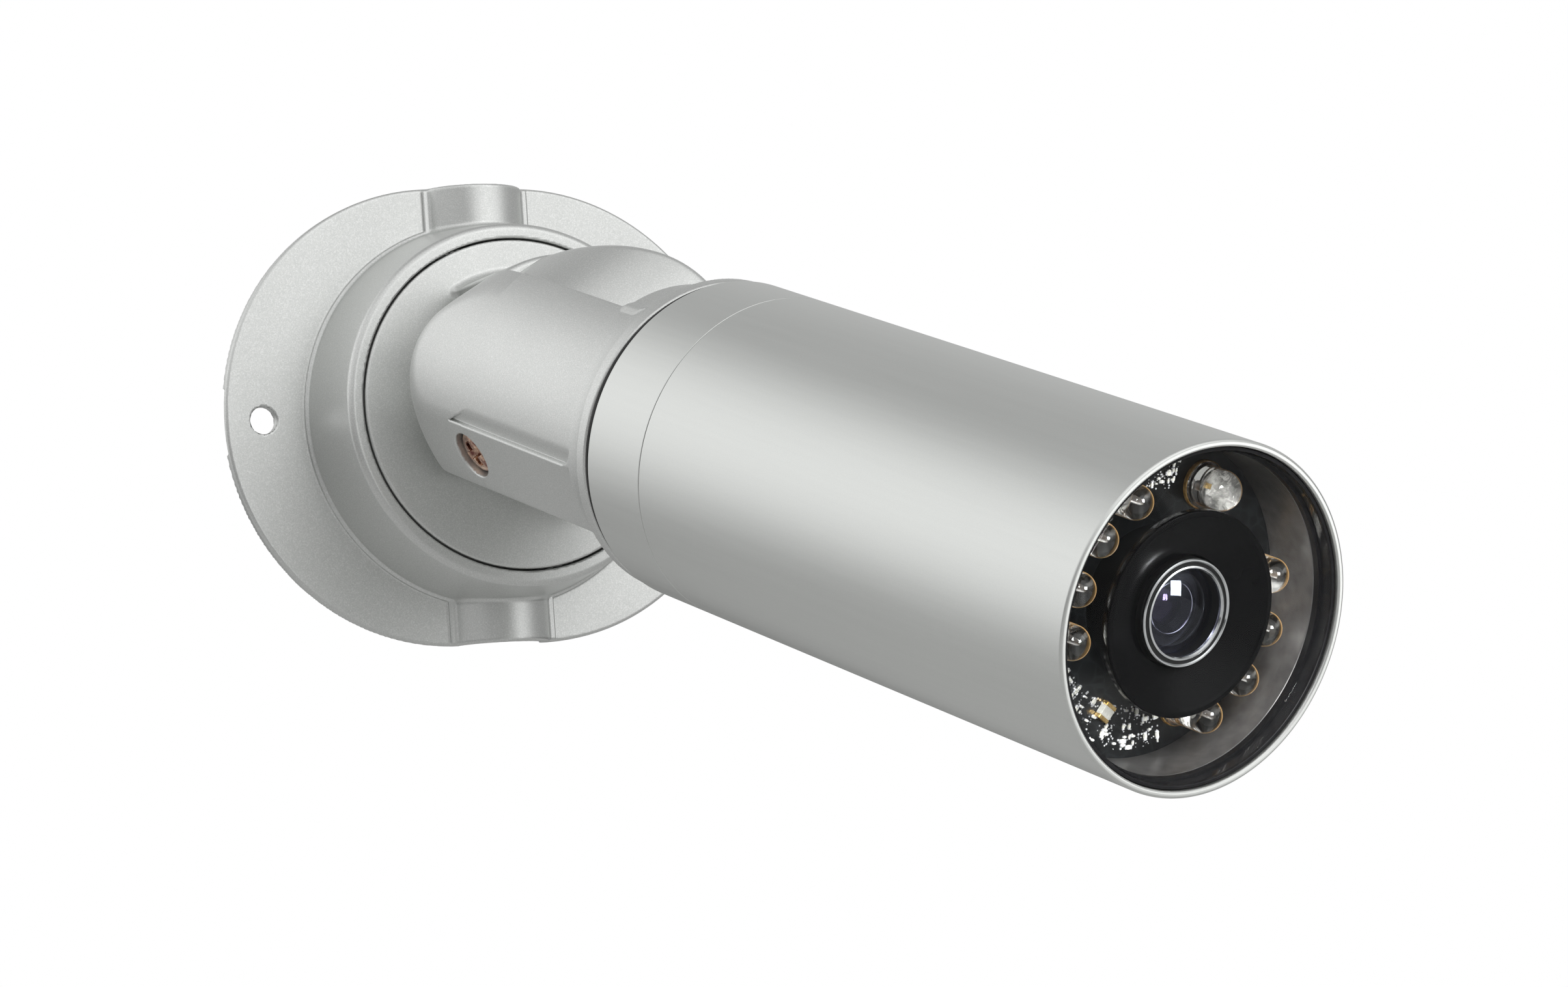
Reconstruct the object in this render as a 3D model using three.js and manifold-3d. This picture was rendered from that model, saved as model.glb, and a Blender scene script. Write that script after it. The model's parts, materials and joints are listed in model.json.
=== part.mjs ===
// Bullet security camera on a three-axis wall bracket. Millimetres, +Z up.
// The wall is the plane Y = 0, the camera points away from it towards -Y, and the
// origin is the centre of the bracket's back. The bracket pans about the wall's
// normal, the knuckle tilts about its clamp screw, and the camera rolls about its tube.

import * as THREE from 'three';
import { mergeVertices } from 'three/addons/utils/BufferGeometryUtils.js';
import Module from 'manifold-3d';

const wasm = await Module();
wasm.setup();

const TAU = 2 * Math.PI;
const degrees = THREE.MathUtils.degToRad;

// ---------------------------------------------------------------- driving dimensions

const PAN_ANGLE = degrees(210.43); // where the clamp screw points, about the wall's normal
const TILT_ANGLE = degrees(22.47); // how far the tube leans away from the wall's normal

const SEGMENTS_LARGE = 48;
const SEGMENTS_MEDIUM = 28;
const SEGMENTS_SMALL = 14;
const SEGMENTS_TINY = 10;

// wall bracket, heights measured out from the wall
const GASKET_THICKNESS = 0.6;
const PLATE_RADIUS = 38.1;
const PLATE_HALF_SPACING = 7.6;
const PLATE_TOP = 2.4;
const SKIRT_TOP = 1.4;
const SKIRT_INSET = 0.3;
const NOTCH_HEIGHT = 10.6;
const NOTCH_DEPTH = 2.2;
const SCREW_HOLE_RADIUS = 2.25;
const SCREW_HOLE_X = 39.2;
const COLLAR_FOOT_RADIUS = 31.7;
const COLLAR_TOP_RADIUS = 29.8;
const COLLAR_TOP = 17.75;
const COLLAR_EDGE_ROUND = 0.9;
const COLLAR_FOOT_FILLET = 0.8;
const CAVITY_RADIUS = 27.0;
const CAVITY_TOP = 11.5;
const SHELF_TOP = 13.5;
const SHELF_BORE_RADIUS = 20.2;
const SEAT_RADIUS = 27.4;
const CABLE_WAY_HALF_WIDTH = 8.8;
const CABLE_WAY_HEIGHT = 8.0;
const CABLE_WAY_WALL = 1.8;
const CABLE_WAY_FILLET = 1.0;

// pan disc and its fixings
const PAN_DISC_RADIUS = 26.9;
const PAN_DISC_BOTTOM = 14.55;
const PAN_DISC_TOP = COLLAR_TOP;
const PAN_HUB_RADIUS = 19.8;
const PAN_HUB_BOTTOM = 10.9;
const PAN_BORE_RADIUS = 6.5;
const RETAINER_RADIUS = 24.5;
const RETAINER_BORE = 12.0;
const RETAINER_TOP = 10.8;
const RETAINER_BOTTOM = 8.7;
const PAN_SCREW_CIRCLE = 16.0;
const PAN_SCREW_COUNT = 3;

// knuckle: two half balls clamped face to face on the tilt axis
const PIVOT_HEIGHT = COLLAR_TOP + 22.5;
const EAR_FACE = 0.5;
const NECK_RADIUS = 22.1;
const TILT_EAR = { radius: 21.9, depth: 21.5, round: 10.8, neck: NECK_RADIUS };
const PAN_EAR = { radius: 19.8, depth: 27.0, round: 9.0, neck: 21.4 };
const POCKET_RADIUS = 14.5;
const POCKET_DEPTH = 11.0;
const BOSS_RADIUS = 6.0;
const CABLE_BORE_RADIUS = 6.5;
const CABLE_BORE_OFFSET = 8.2;
const PAN_FOOT_FILLET = 1.2;

// flats and ledge on the side of the arm
const PAD_LEVEL = 21.2;
const LEDGE_LEVEL = 20.4;
const LEDGE_EDGE = -5.9;
const LEDGE_BACK = -3.1;
const LEDGE_FRONT = 32.0;
const LEDGE_SLANT = 2.1;
const UNDERCUT_LEVEL = 19.4;

// clamp screw and nut
const SCREW_SHANK_RADIUS = 1.95;
const SCREW_CLEARANCE_RADIUS = 2.2;
const SCREW_HEAD_RADIUS = 3.3;
const COUNTERBORE_RADIUS = 3.6;
const COUNTERBORE_FLOOR = 18.2;
const WASHER_BASE = 18.3;
const WASHER_TOP = 18.8;
const HEAD_BASE = 18.9;
const HEAD_EDGE = 20.2;
const HEAD_TOP = 20.8;
const SCREW_TIP = -19.0;
const NUT_ACROSS_FLATS = 7.0;
const NUT_POCKET_FLOOR = -14.2;
const NUT_FACE = -14.4;
const NUT_THICKNESS = 3.2;

// arm flange, measured from the pivot along the tube
const FLARE_BACK = 28.9;
const FLARE_START = 31.5;
const FLARE_END = 38.1;
const FLANGE_RADIUS = 24.66;
const FLANGE_FACE = 40.3;
const FLANGE_WALL = 36.4;
const FLANGE_BORE = 12.3;
const NUT_ROOM_RADIUS = 17.3;
const NUT_ROOM_BACK = 30.9;

// camera housing, measured from the pivot along the tube
const HOUSING_RADIUS = 25.0;
const CAP_BACK = 41.35;
const CAP_WALL = 45.5;
const SEAM = 55.3;
const CAP_SPIGOT_RADIUS = 23.1;
const CAP_SPIGOT_END = 60.0;
const STUB_RADIUS = 11.9;
const STUB_BORE = 8.5;
const STUB_END = 31.3;
const TUBE_BORE = 23.5;
const FRONT = 154.8;
const WINDOW_SEAT_RADIUS = 23.95;
const WINDOW_SEAT_BACK = 150.9;
const SLEEVE_RADIUS = 23.3;
const SLEEVE_BORE = 22.7;

// front window and light board
const GLASS_RADIUS = 23.15;
const GLASS_FRONT = 154.1;
const GLASS_THICKNESS = 2.0;
const BOARD_FRONT = 141.8;
const BOARD_THICKNESS = 1.5;
const BOARD_RADIUS = 22.9;
const BOARD_BORE = 8.8;
const LED_CIRCLE = 17.6;
const LED_RADIUS = 2.5;
const LED_HEIGHT = 8.6;
const LEFT_LED_ANGLES = [-90, -66, -42, -18];
const RIGHT_LED_ANGLES = [87, 112, 137, 162];
const LIGHT_SENSOR_ANGLE = -148;
const LIGHT_SENSOR_RADIUS = 2.9;
const LIGHT_SENSOR_HEIGHT = 6.8;

// lens, sensor and boards
const LENS_FRONT = 151.0;
const LENS_HEAD_RADIUS = 7.6;
const LENS_THREAD_RADIUS = 6.0;
const LENS_BACK = 127.5;
const HOLDER_BASE = 123.4;
const HOLDER_TOP = 137.0;
const CIRCUIT_SIZE = 32.0;
const CIRCUIT_THICKNESS = 1.5;
const SENSOR_BOARD_BACK = 121.8;
const MAIN_BOARD_BACK = 107.6;
const POST_OFFSET = 13.0;

// ---------------------------------------------------------------- materials

function material(color, roughness, metalness, options = {}) {
  return new THREE.MeshStandardMaterial({ color, roughness, metalness, ...options });
}

const silverPaint = material(0xb9bbb8, 0.42, 0.35);
const brightAluminium = material(0xd8dadb, 0.25, 0.9);
const zincYellow = material(0xc79a5a, 0.35, 0.9);
const steel = material(0x9a9c9e, 0.35, 0.9);
const blackRubber = material(0x151515, 0.85, 0.0);
const blackPlastic = material(0x0c0c0e, 0.3, 0.0);
const darkSleeve = material(0x2f2f31, 0.35, 0.2);
const boardBlack = material(0x10120f, 0.45, 0.0);
const boardGreen = material(0x1d4d2b, 0.45, 0.0);
const clearResin = material(0xe8e4da, 0.08, 0.0, { transparent: true, opacity: 0.5 });
const clearGlass = material(0xf4f7f8, 0.03, 0.0, { transparent: true, opacity: 0.15 });
const coatedGlass = material(0x2a2440, 0.04, 0.0, { transparent: true, opacity: 0.6 });
const chipBlack = material(0x202225, 0.4, 0.0);

// ---------------------------------------------------------------- solid helpers

// Joins the vertices that share a place, drops empty triangles and turns the faces outward.
function weld(geometry) {
  const bare = geometry.clone();
  for (const name of ['normal', 'uv']) bare.deleteAttribute(name);
  const merged = mergeVertices(bare, 1e-4);
  const source = merged.index.array;
  const index = [];
  for (let i = 0; i < source.length; i += 3) {
    const [a, b, c] = [source[i], source[i + 1], source[i + 2]];
    if (a !== b && b !== c && a !== c) index.push(a, b, c);
  }
  if (signedVolume(merged.attributes.position, index) < 0) index.reverse();
  merged.setIndex(index);
  return merged;
}

function signedVolume(position, index) {
  const corners = [new THREE.Vector3(), new THREE.Vector3(), new THREE.Vector3()];
  let total = 0;
  for (let i = 0; i < index.length; i += 3) {
    corners.forEach((corner, k) => corner.fromBufferAttribute(position, index[i + k]));
    total += corners[0].dot(corners[1].cross(corners[2]));
  }
  return total / 6;
}

function solid(geometry) {
  const welded = weld(geometry);
  return new wasm.Manifold(new wasm.Mesh({
    numProp: 3,
    vertProperties: new Float32Array(welded.attributes.position.array),
    triVerts: new Uint32Array(welded.index.array),
  }));
}

function geometryOf(body) {
  const mesh = body.getMesh();
  const geometry = new THREE.BufferGeometry();
  geometry.setAttribute('position', new THREE.BufferAttribute(mesh.vertProperties, 3));
  geometry.setIndex(new THREE.BufferAttribute(mesh.triVerts, 1));
  geometry.computeVertexNormals();
  return geometry;
}

function union(first, ...others) {
  return others.reduce((sum, body) => sum.add(body), first);
}

function cut(first, ...others) {
  return others.reduce((rest, body) => rest.subtract(body), first);
}

// A solid of revolution about Z from [radius, height] points. Profiles that leave
// the axis free close on themselves.
function turned(points, segments = SEGMENTS_MEDIUM) {
  const profile = points.map(([radius, height]) => new THREE.Vector2(radius, height));
  const onAxis = points[0][0] === 0 && points[points.length - 1][0] === 0;
  if (!onAxis) profile.push(profile[0].clone());
  return solid(new THREE.LatheGeometry(profile, segments).rotateX(Math.PI / 2));
}

function rod(radius, bottom, top, segments = SEGMENTS_SMALL) {
  return turned([[0, bottom], [radius, bottom], [radius, top], [0, top]], segments);
}

function ring(inner, outer, bottom, top, segments = SEGMENTS_MEDIUM) {
  return turned([[inner, bottom], [outer, bottom], [outer, top], [inner, top]], segments);
}

function block([x0, y0, z0], [x1, y1, z1]) {
  const box = new THREE.BoxGeometry(x1 - x0, y1 - y0, z1 - z0);
  return solid(box.translate((x0 + x1) / 2, (y0 + y1) / 2, (z0 + z1) / 2));
}

function prism(shape, bottom, top, curveSegments = SEGMENTS_SMALL) {
  const depth = top - bottom;
  const geometry = new THREE.ExtrudeGeometry(shape, { depth, bevelEnabled: false, curveSegments });
  return solid(geometry.translate(0, 0, bottom));
}

// Turns a solid that was made about Z so that it lies about X.
function alongX(body) {
  return body.rotate([0, 90, 0]);
}

// Turns a solid that was made about Z so that it lies about Y.
function alongY(body) {
  return body.rotate([-90, 0, 0]);
}

// Points of an arc as [radius, height], from one angle to another, both ends included.
function arc(centreRadius, centreHeight, size, from, to, steps) {
  const points = [];
  for (let i = 0; i <= steps; i += 1) {
    const angle = from + ((to - from) * i) / steps;
    points.push([centreRadius + size * Math.cos(angle), centreHeight + size * Math.sin(angle)]);
  }
  return points;
}

function hexagon(acrossFlats) {
  const shape = new THREE.Shape();
  const corner = acrossFlats / Math.sqrt(3);
  for (let i = 0; i < 6; i += 1) {
    const angle = (TAU * i) / 6;
    const move = i === 0 ? 'moveTo' : 'lineTo';
    shape[move](corner * Math.cos(angle), corner * Math.sin(angle));
  }
  shape.closePath();
  return shape;
}

// An oblong with round ends, wider than it is high.
function oblong(radius, halfSpacing) {
  const shape = new THREE.Shape();
  shape.moveTo(-halfSpacing, -radius);
  shape.lineTo(halfSpacing, -radius);
  shape.absarc(halfSpacing, 0, radius, -Math.PI / 2, Math.PI / 2, false);
  shape.lineTo(-halfSpacing, radius);
  shape.absarc(-halfSpacing, 0, radius, Math.PI / 2, 1.5 * Math.PI, false);
  return shape;
}

function place(group, name, body, surface) {
  const mesh = new THREE.Mesh(geometryOf(body), surface);
  mesh.name = name;
  group.add(mesh);
  return mesh;
}

// ---------------------------------------------------------------- nested frames

const camera = new THREE.Group();

// Z is the wall's normal, X stays level and Y points up the wall.
const bracketFrame = new THREE.Group();
bracketFrame.rotation.x = Math.PI / 2;
camera.add(bracketFrame);

// X is the clamp screw's axis.
const panFrame = new THREE.Group();
panFrame.rotation.z = PAN_ANGLE;
bracketFrame.add(panFrame);

// The origin is the pivot and Z runs along the tube.
const armFrame = new THREE.Group();
armFrame.position.z = PIVOT_HEIGHT;
armFrame.rotation.x = -TILT_ANGLE;
panFrame.add(armFrame);

const housingFrame = new THREE.Group();
armFrame.add(housingFrame);

// ---------------------------------------------------------------- wall bracket

// A bar with an elliptical section that lies along Y on the wall.
function arch(halfWidth, height, reach, segments) {
  return alongY(rod(halfWidth, -reach, reach, segments)).scale([1, 1, height / halfWidth]);
}

function wallPlate() {
  const face = prism(oblong(PLATE_RADIUS, PLATE_HALF_SPACING), SKIRT_TOP, PLATE_TOP, 24);
  const skirtShape = oblong(PLATE_RADIUS - SKIRT_INSET, PLATE_HALF_SPACING);
  const skirt = prism(skirtShape, GASKET_THICKNESS, SKIRT_TOP, 24);
  const collar = turned([
    [0, GASKET_THICKNESS],
    [COLLAR_FOOT_RADIUS + COLLAR_FOOT_FILLET, GASKET_THICKNESS],
    [COLLAR_FOOT_RADIUS + COLLAR_FOOT_FILLET, PLATE_TOP],
    [COLLAR_FOOT_RADIUS + 0.3 * COLLAR_FOOT_FILLET, PLATE_TOP + 0.3 * COLLAR_FOOT_FILLET],
    [COLLAR_FOOT_RADIUS, PLATE_TOP + COLLAR_FOOT_FILLET],
    ...arc(COLLAR_TOP_RADIUS - COLLAR_EDGE_ROUND, COLLAR_TOP - COLLAR_EDGE_ROUND,
      COLLAR_EDGE_ROUND, 0, Math.PI / 2, 3),
    [0, COLLAR_TOP],
  ], SEGMENTS_LARGE);
  const tunnel = arch(CABLE_WAY_HALF_WIDTH, CABLE_WAY_HEIGHT, PLATE_RADIUS, 32);
  const shell = union(face, skirt, collar, tunnel, tunnelFoot());

  const behindWall = block([-60, -60, -20], [60, 60, GASKET_THICKNESS]);
  const cavity = rod(CAVITY_RADIUS, -1, CAVITY_TOP, SEGMENTS_LARGE);
  const shelfBore = rod(SHELF_BORE_RADIUS, 0, COLLAR_TOP + 1, SEGMENTS_LARGE);
  const seat = rod(SEAT_RADIUS, SHELF_TOP, COLLAR_TOP + 1, SEGMENTS_LARGE);
  const cableWay = arch(CABLE_WAY_HALF_WIDTH - CABLE_WAY_WALL, CABLE_WAY_HEIGHT - CABLE_WAY_WALL,
    PLATE_RADIUS + 1, 24);
  const cableWayStop = block([-20, -60, CAVITY_TOP - 2], [20, 60, 60]);
  let plate = cut(shell, behindWall, cavity, shelfBore, seat, cut(cableWay, cableWayStop));

  for (const side of [-1, 1]) {
    const edge = side * (PLATE_RADIUS + PLATE_HALF_SPACING);
    const notchLow = [Math.min(edge, edge - side * NOTCH_DEPTH), -NOTCH_HEIGHT / 2, 0];
    const notchHigh = [Math.max(edge, edge - side * NOTCH_DEPTH), NOTCH_HEIGHT / 2, SKIRT_TOP];
    const hole = rod(SCREW_HOLE_RADIUS, -1, PLATE_TOP + 1).translate([side * SCREW_HOLE_X, 0, 0]);
    plate = cut(plate, block(notchLow, notchHigh), hole);
  }
  return plate;
}

// The small sloping foot where the cable way's arch meets the plate.
function tunnelFoot() {
  const half = CABLE_WAY_HALF_WIDTH * Math.sqrt(1 - (PLATE_TOP / CABLE_WAY_HEIGHT) ** 2);
  const low = PLATE_TOP - CABLE_WAY_FILLET / 2;
  const middle = PLATE_TOP + CABLE_WAY_FILLET * 0.3;
  const high = PLATE_TOP + CABLE_WAY_FILLET;
  const shape = new THREE.Shape();
  shape.moveTo(-half - CABLE_WAY_FILLET, low);
  shape.lineTo(half + CABLE_WAY_FILLET, low);
  shape.lineTo(half + CABLE_WAY_FILLET, PLATE_TOP);
  shape.lineTo(half + CABLE_WAY_FILLET * 0.2, middle);
  shape.lineTo(half - CABLE_WAY_FILLET / 2, high);
  shape.lineTo(-half + CABLE_WAY_FILLET / 2, high);
  shape.lineTo(-half - CABLE_WAY_FILLET * 0.2, middle);
  shape.lineTo(-half - CABLE_WAY_FILLET, PLATE_TOP);
  shape.closePath();
  return prism(shape, -PLATE_RADIUS, PLATE_RADIUS).rotate([90, 0, 0]);
}

function wallGasket() {
  const sheet = prism(oblong(PLATE_RADIUS - 0.5, PLATE_HALF_SPACING), 0, GASKET_THICKNESS - 0.1, 16);
  const holes = [rod(CAVITY_RADIUS + 0.5, -1, 1, SEGMENTS_MEDIUM)];
  for (const side of [-1, 1]) {
    holes.push(rod(SCREW_HOLE_RADIUS + 0.3, -1, 1).translate([side * SCREW_HOLE_X, 0, 0]));
    const edge = side * (PLATE_RADIUS + PLATE_HALF_SPACING);
    const inner = edge - side * (NOTCH_DEPTH + 0.4);
    holes.push(block([Math.min(edge, inner), -NOTCH_HEIGHT / 2, -1],
      [Math.max(edge, inner), NOTCH_HEIGHT / 2, 1]));
  }
  return cut(sheet, ...holes);
}

place(bracketFrame, 'wall_plate', wallPlate(), silverPaint);
place(bracketFrame, 'wall_gasket', wallGasket(), blackRubber);

// ---------------------------------------------------------------- knuckle halves

// One half of the knuckle with its neck: the clamp face is near X = 0, the ear's
// centre is the pivot and the neck runs along +Z for the given length.
function halfKnuckle(ear, neckLength) {
  const dome = alongX(turned([
    [0, EAR_FACE],
    [ear.radius, EAR_FACE],
    ...arc(ear.radius - ear.round, ear.depth - ear.round, ear.round, 0, Math.PI / 2, 7),
    [0, ear.depth],
  ], SEGMENTS_LARGE));
  const reach = ear.neck + 1;
  const slab = block([EAR_FACE, -reach, 0], [reach, reach, neckLength]);
  const round = rod(ear.neck, -ear.radius - 1, neckLength, SEGMENTS_LARGE);
  return union(dome, slab).intersect(round);
}

// The hollow that lets the cable pass from one half to the other around the clamp screw.
function halfPocket() {
  return alongX(ring(BOSS_RADIUS, POCKET_RADIUS, 0, POCKET_DEPTH, SEGMENTS_MEDIUM));
}

function clampHole(from, to) {
  return alongX(rod(SCREW_CLEARANCE_RADIUS, from, to));
}

// ---------------------------------------------------------------- pan disc

function panKnuckle() {
  const disc = rod(PAN_DISC_RADIUS, PAN_DISC_BOTTOM, PAN_DISC_TOP, SEGMENTS_LARGE);
  const hub = rod(PAN_HUB_RADIUS, PAN_HUB_BOTTOM, PAN_DISC_BOTTOM, SEGMENTS_LARGE);
  const neckLength = PIVOT_HEIGHT - PAN_DISC_TOP;
  const ear = halfKnuckle(PAN_EAR, neckLength + 0.5).rotate([0, 180, 0])
    .translate([0, 0, PIVOT_HEIGHT]);
  const foot = turned([
    [0, PAN_DISC_TOP - 0.5],
    [PAN_EAR.neck + PAN_FOOT_FILLET, PAN_DISC_TOP - 0.5],
    ...arc(PAN_EAR.neck + PAN_FOOT_FILLET, PAN_DISC_TOP + PAN_FOOT_FILLET, PAN_FOOT_FILLET,
      -Math.PI / 2, -Math.PI, 4),
    [0, PAN_DISC_TOP + PAN_FOOT_FILLET],
  ], SEGMENTS_LARGE).intersect(block([-60, -60, 0], [-EAR_FACE, 60, 60]));

  const pocket = halfPocket().rotate([0, 180, 0]).translate([0, 0, PIVOT_HEIGHT]);
  const cableBore = rod(PAN_BORE_RADIUS, 0, PIVOT_HEIGHT - 10, SEGMENTS_MEDIUM)
    .translate([-CABLE_BORE_OFFSET, 0, 0]);
  const clamp = clampHole(-30, 0).translate([0, 0, PIVOT_HEIGHT]);
  const nutPocket = alongX(prism(hexagon(NUT_ACROSS_FLATS + 0.4), -40, NUT_POCKET_FLOOR))
    .translate([0, 0, PIVOT_HEIGHT]);
  return cut(union(disc, hub, ear, foot), pocket, cableBore, clamp, nutPocket, ...panScrewHoles());
}

function panScrewHoles() {
  return aroundPanAxis(() => rod(1.75, 0, PAN_DISC_BOTTOM - 0.5, SEGMENTS_TINY));
}

function aroundPanAxis(makeBody) {
  const bodies = [];
  for (let i = 0; i < PAN_SCREW_COUNT; i += 1) {
    const angle = (TAU * i) / PAN_SCREW_COUNT;
    const x = PAN_SCREW_CIRCLE * Math.cos(angle);
    const y = PAN_SCREW_CIRCLE * Math.sin(angle);
    bodies.push(makeBody().translate([x, y, 0]));
  }
  return bodies;
}

function panRetainer() {
  const plate = ring(RETAINER_BORE, RETAINER_RADIUS, RETAINER_BOTTOM, RETAINER_TOP);
  return cut(plate, ...aroundPanAxis(() => rod(1.75, 0, 20, SEGMENTS_TINY)));
}

// A pan-head screw that points along +Z, with a cross recess under its head's face.
function panHeadScrew(headRadius, shankRadius, headBottom, headTop, tip) {
  const screw = turned([
    [0, headBottom],
    [headRadius * 0.7, headBottom],
    [headRadius, headBottom + 0.35 * (headTop - headBottom)],
    [headRadius, headTop],
    [shankRadius, headTop],
    [shankRadius, tip - 0.4],
    [shankRadius - 0.4, tip],
    [0, tip],
  ], SEGMENTS_TINY);
  return cut(screw, ...crossRecess(headRadius, headBottom));
}

function crossRecess(headRadius, face) {
  const reach = 0.62 * headRadius;
  const width = 0.16 * headRadius;
  const depth = 0.9;
  return [
    block([-reach, -width, face - 1], [reach, width, face + depth]),
    block([-width, -reach, face - 1], [width, reach, face + depth]),
  ];
}

place(panFrame, 'pan_knuckle', panKnuckle(), silverPaint);
place(panFrame, 'pan_seal', ring(21.5, 27.2, SHELF_TOP + 0.1, PAN_DISC_BOTTOM - 0.1, SEGMENTS_LARGE),
  blackRubber);
place(panFrame, 'pan_friction_washer', ring(20.4, 24.2, RETAINER_TOP + 0.1, CAVITY_TOP - 0.1), steel);
place(panFrame, 'pan_retainer', panRetainer(), steel);
aroundPanAxis(() => panHeadScrew(2.75, 1.45, 6.8, RETAINER_BOTTOM - 0.1, 13.4)).forEach((body, i) => {
  place(panFrame, `pan_screw_${i + 1}`, body, steel);
});

function clampNut() {
  const nut = prism(hexagon(NUT_ACROSS_FLATS), NUT_FACE - NUT_THICKNESS, NUT_FACE);
  const hole = rod(SCREW_SHANK_RADIUS + 0.15, NUT_FACE - 2 * NUT_THICKNESS, NUT_FACE + 1);
  return alongX(cut(nut, hole)).translate([0, 0, PIVOT_HEIGHT]);
}

place(panFrame, 'tilt_nut', clampNut(), steel);

// ---------------------------------------------------------------- tilting arm

function flare() {
  const lipRound = 0.5;
  const rise = FLANGE_RADIUS - lipRound - NECK_RADIUS;
  const points = [[0, FLARE_BACK], [NECK_RADIUS, FLARE_BACK]];
  const steps = 6;
  for (let i = 0; i <= steps; i += 1) {
    const angle = (Math.PI / 2) * (i / steps);
    points.push([
      NECK_RADIUS + rise * (1 - Math.cos(angle)),
      FLARE_START + (FLARE_END - FLARE_START) * Math.sin(angle),
    ]);
  }
  points.push(...arc(FLANGE_RADIUS - lipRound, FLARE_END + lipRound, lipRound, -Math.PI / 4, 0, 2));
  points.push([FLANGE_RADIUS, FLANGE_FACE], [0, FLANGE_FACE]);
  return turned(points, SEGMENTS_LARGE);
}

// The ledge beside the screw pad: an outline in the arm's side view, with a slanted
// back end and a round front corner.
function ledgeCut() {
  const shape = new THREE.Shape();
  const reach = 7.5;
  const corner = 3.0;
  shape.moveTo(LEDGE_EDGE, LEDGE_BACK);
  shape.lineTo(LEDGE_EDGE, LEDGE_FRONT);
  shape.absarc(LEDGE_EDGE - corner, LEDGE_FRONT - corner, corner, 0.4, Math.PI / 2, false);
  shape.lineTo(LEDGE_EDGE - reach, LEDGE_FRONT);
  shape.lineTo(LEDGE_EDGE - reach, LEDGE_BACK + LEDGE_SLANT * reach);
  shape.closePath();
  const upright = prism(shape, LEDGE_LEVEL, NECK_RADIUS + 2, 6);
  // the outline's x is the arm's Y and its y is the arm's Z
  return upright.rotate([90, 0, 0]).rotate([0, 0, 90]);
}

function tiltKnuckle() {
  const body = union(halfKnuckle(TILT_EAR, FLARE_BACK + 1), neckBridge(), flare());
  const padCut = block([PAD_LEVEL, LEDGE_EDGE, -40], [60, 30, FLARE_START]);
  const undercut = block([UNDERCUT_LEVEL, -30, -40], [60, 30, FLARE_BACK + 1.5]).rotate([0, 0, 45]);
  const pocket = halfPocket();
  const cableBore = rod(CABLE_BORE_RADIUS, 10, FLANGE_WALL - 1).translate([CABLE_BORE_OFFSET, 0, 0]);
  const nutRoom = rod(NUT_ROOM_RADIUS, NUT_ROOM_BACK, FLANGE_WALL, SEGMENTS_MEDIUM);
  const flangeBore = rod(FLANGE_BORE, NUT_ROOM_BACK + 1, FLANGE_FACE + 1, SEGMENTS_MEDIUM);
  const counterbore = alongX(rod(COUNTERBORE_RADIUS, COUNTERBORE_FLOOR, 40, 28));
  return cut(body, padCut, ledgeCut(), undercut, pocket, cableBore, nutRoom, flangeBore,
    clampHole(0, 30), counterbore);
}

// Carries the neck's half round up into the flare on the clamp screw's side.
function neckBridge() {
  const round = rod(NECK_RADIUS, FLARE_BACK - 1, FLARE_START, SEGMENTS_LARGE);
  return round.intersect(block([EAR_FACE, -60, 0], [60, 60, 60]));
}

function tiltScrew() {
  const screw = turned([
    [0, SCREW_TIP],
    [SCREW_SHANK_RADIUS - 0.4, SCREW_TIP],
    [SCREW_SHANK_RADIUS, SCREW_TIP + 0.4],
    [SCREW_SHANK_RADIUS, HEAD_BASE],
    [SCREW_HEAD_RADIUS, HEAD_BASE],
    [SCREW_HEAD_RADIUS, HEAD_EDGE],
    [SCREW_HEAD_RADIUS * 0.72, HEAD_TOP - 0.12],
    [0, HEAD_TOP],
  ], 16);
  const reach = 2.0;
  const width = 0.5;
  const depth = 1.1;
  const slots = [
    block([-reach, -width, HEAD_TOP - depth], [reach, width, HEAD_TOP + 1]),
    block([-width, -reach, HEAD_TOP - depth], [width, reach, HEAD_TOP + 1]),
  ];
  return alongX(cut(screw, ...slots));
}

place(armFrame, 'tilt_knuckle', tiltKnuckle(), silverPaint);
place(armFrame, 'tilt_friction_disc', alongX(ring(POCKET_RADIUS + 0.2, PAN_EAR.radius - 0.6, -0.3, 0.3,
  SEGMENTS_MEDIUM)), blackRubber);
place(armFrame, 'tilt_washer', alongX(ring(SCREW_CLEARANCE_RADIUS + 0.1, SCREW_HEAD_RADIUS + 0.1,
  WASHER_BASE, WASHER_TOP, 16)), steel);
place(armFrame, 'tilt_screw', tiltScrew(), zincYellow);

// ---------------------------------------------------------------- roll joint and rear cap

function rearCap() {
  const edge = 0.6;
  const groove = 1.1;
  return turned([
    [STUB_BORE, STUB_END],
    [STUB_RADIUS, STUB_END],
    [STUB_RADIUS, CAP_BACK],
    [HOUSING_RADIUS - edge, CAP_BACK],
    ...arc(HOUSING_RADIUS - edge, CAP_BACK + edge, edge, -Math.PI / 4, 0, 2),
    [HOUSING_RADIUS, SEAM - 0.15],
    [CAP_SPIGOT_RADIUS, SEAM - 0.15],
    [CAP_SPIGOT_RADIUS, SEAM + 1.3],
    [CAP_SPIGOT_RADIUS - groove, SEAM + 1.3],
    [CAP_SPIGOT_RADIUS - groove, SEAM + 3.1],
    [CAP_SPIGOT_RADIUS, SEAM + 3.1],
    [CAP_SPIGOT_RADIUS, CAP_SPIGOT_END],
    [20.4, CAP_SPIGOT_END],
    [20.4, CAP_WALL],
    [STUB_BORE, CAP_WALL],
  ], SEGMENTS_LARGE);
}

function torusRing(major, minor, height) {
  return turned(arc(major, height, minor, 0, TAU * (5 / 6), 5), SEGMENTS_LARGE);
}

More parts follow.
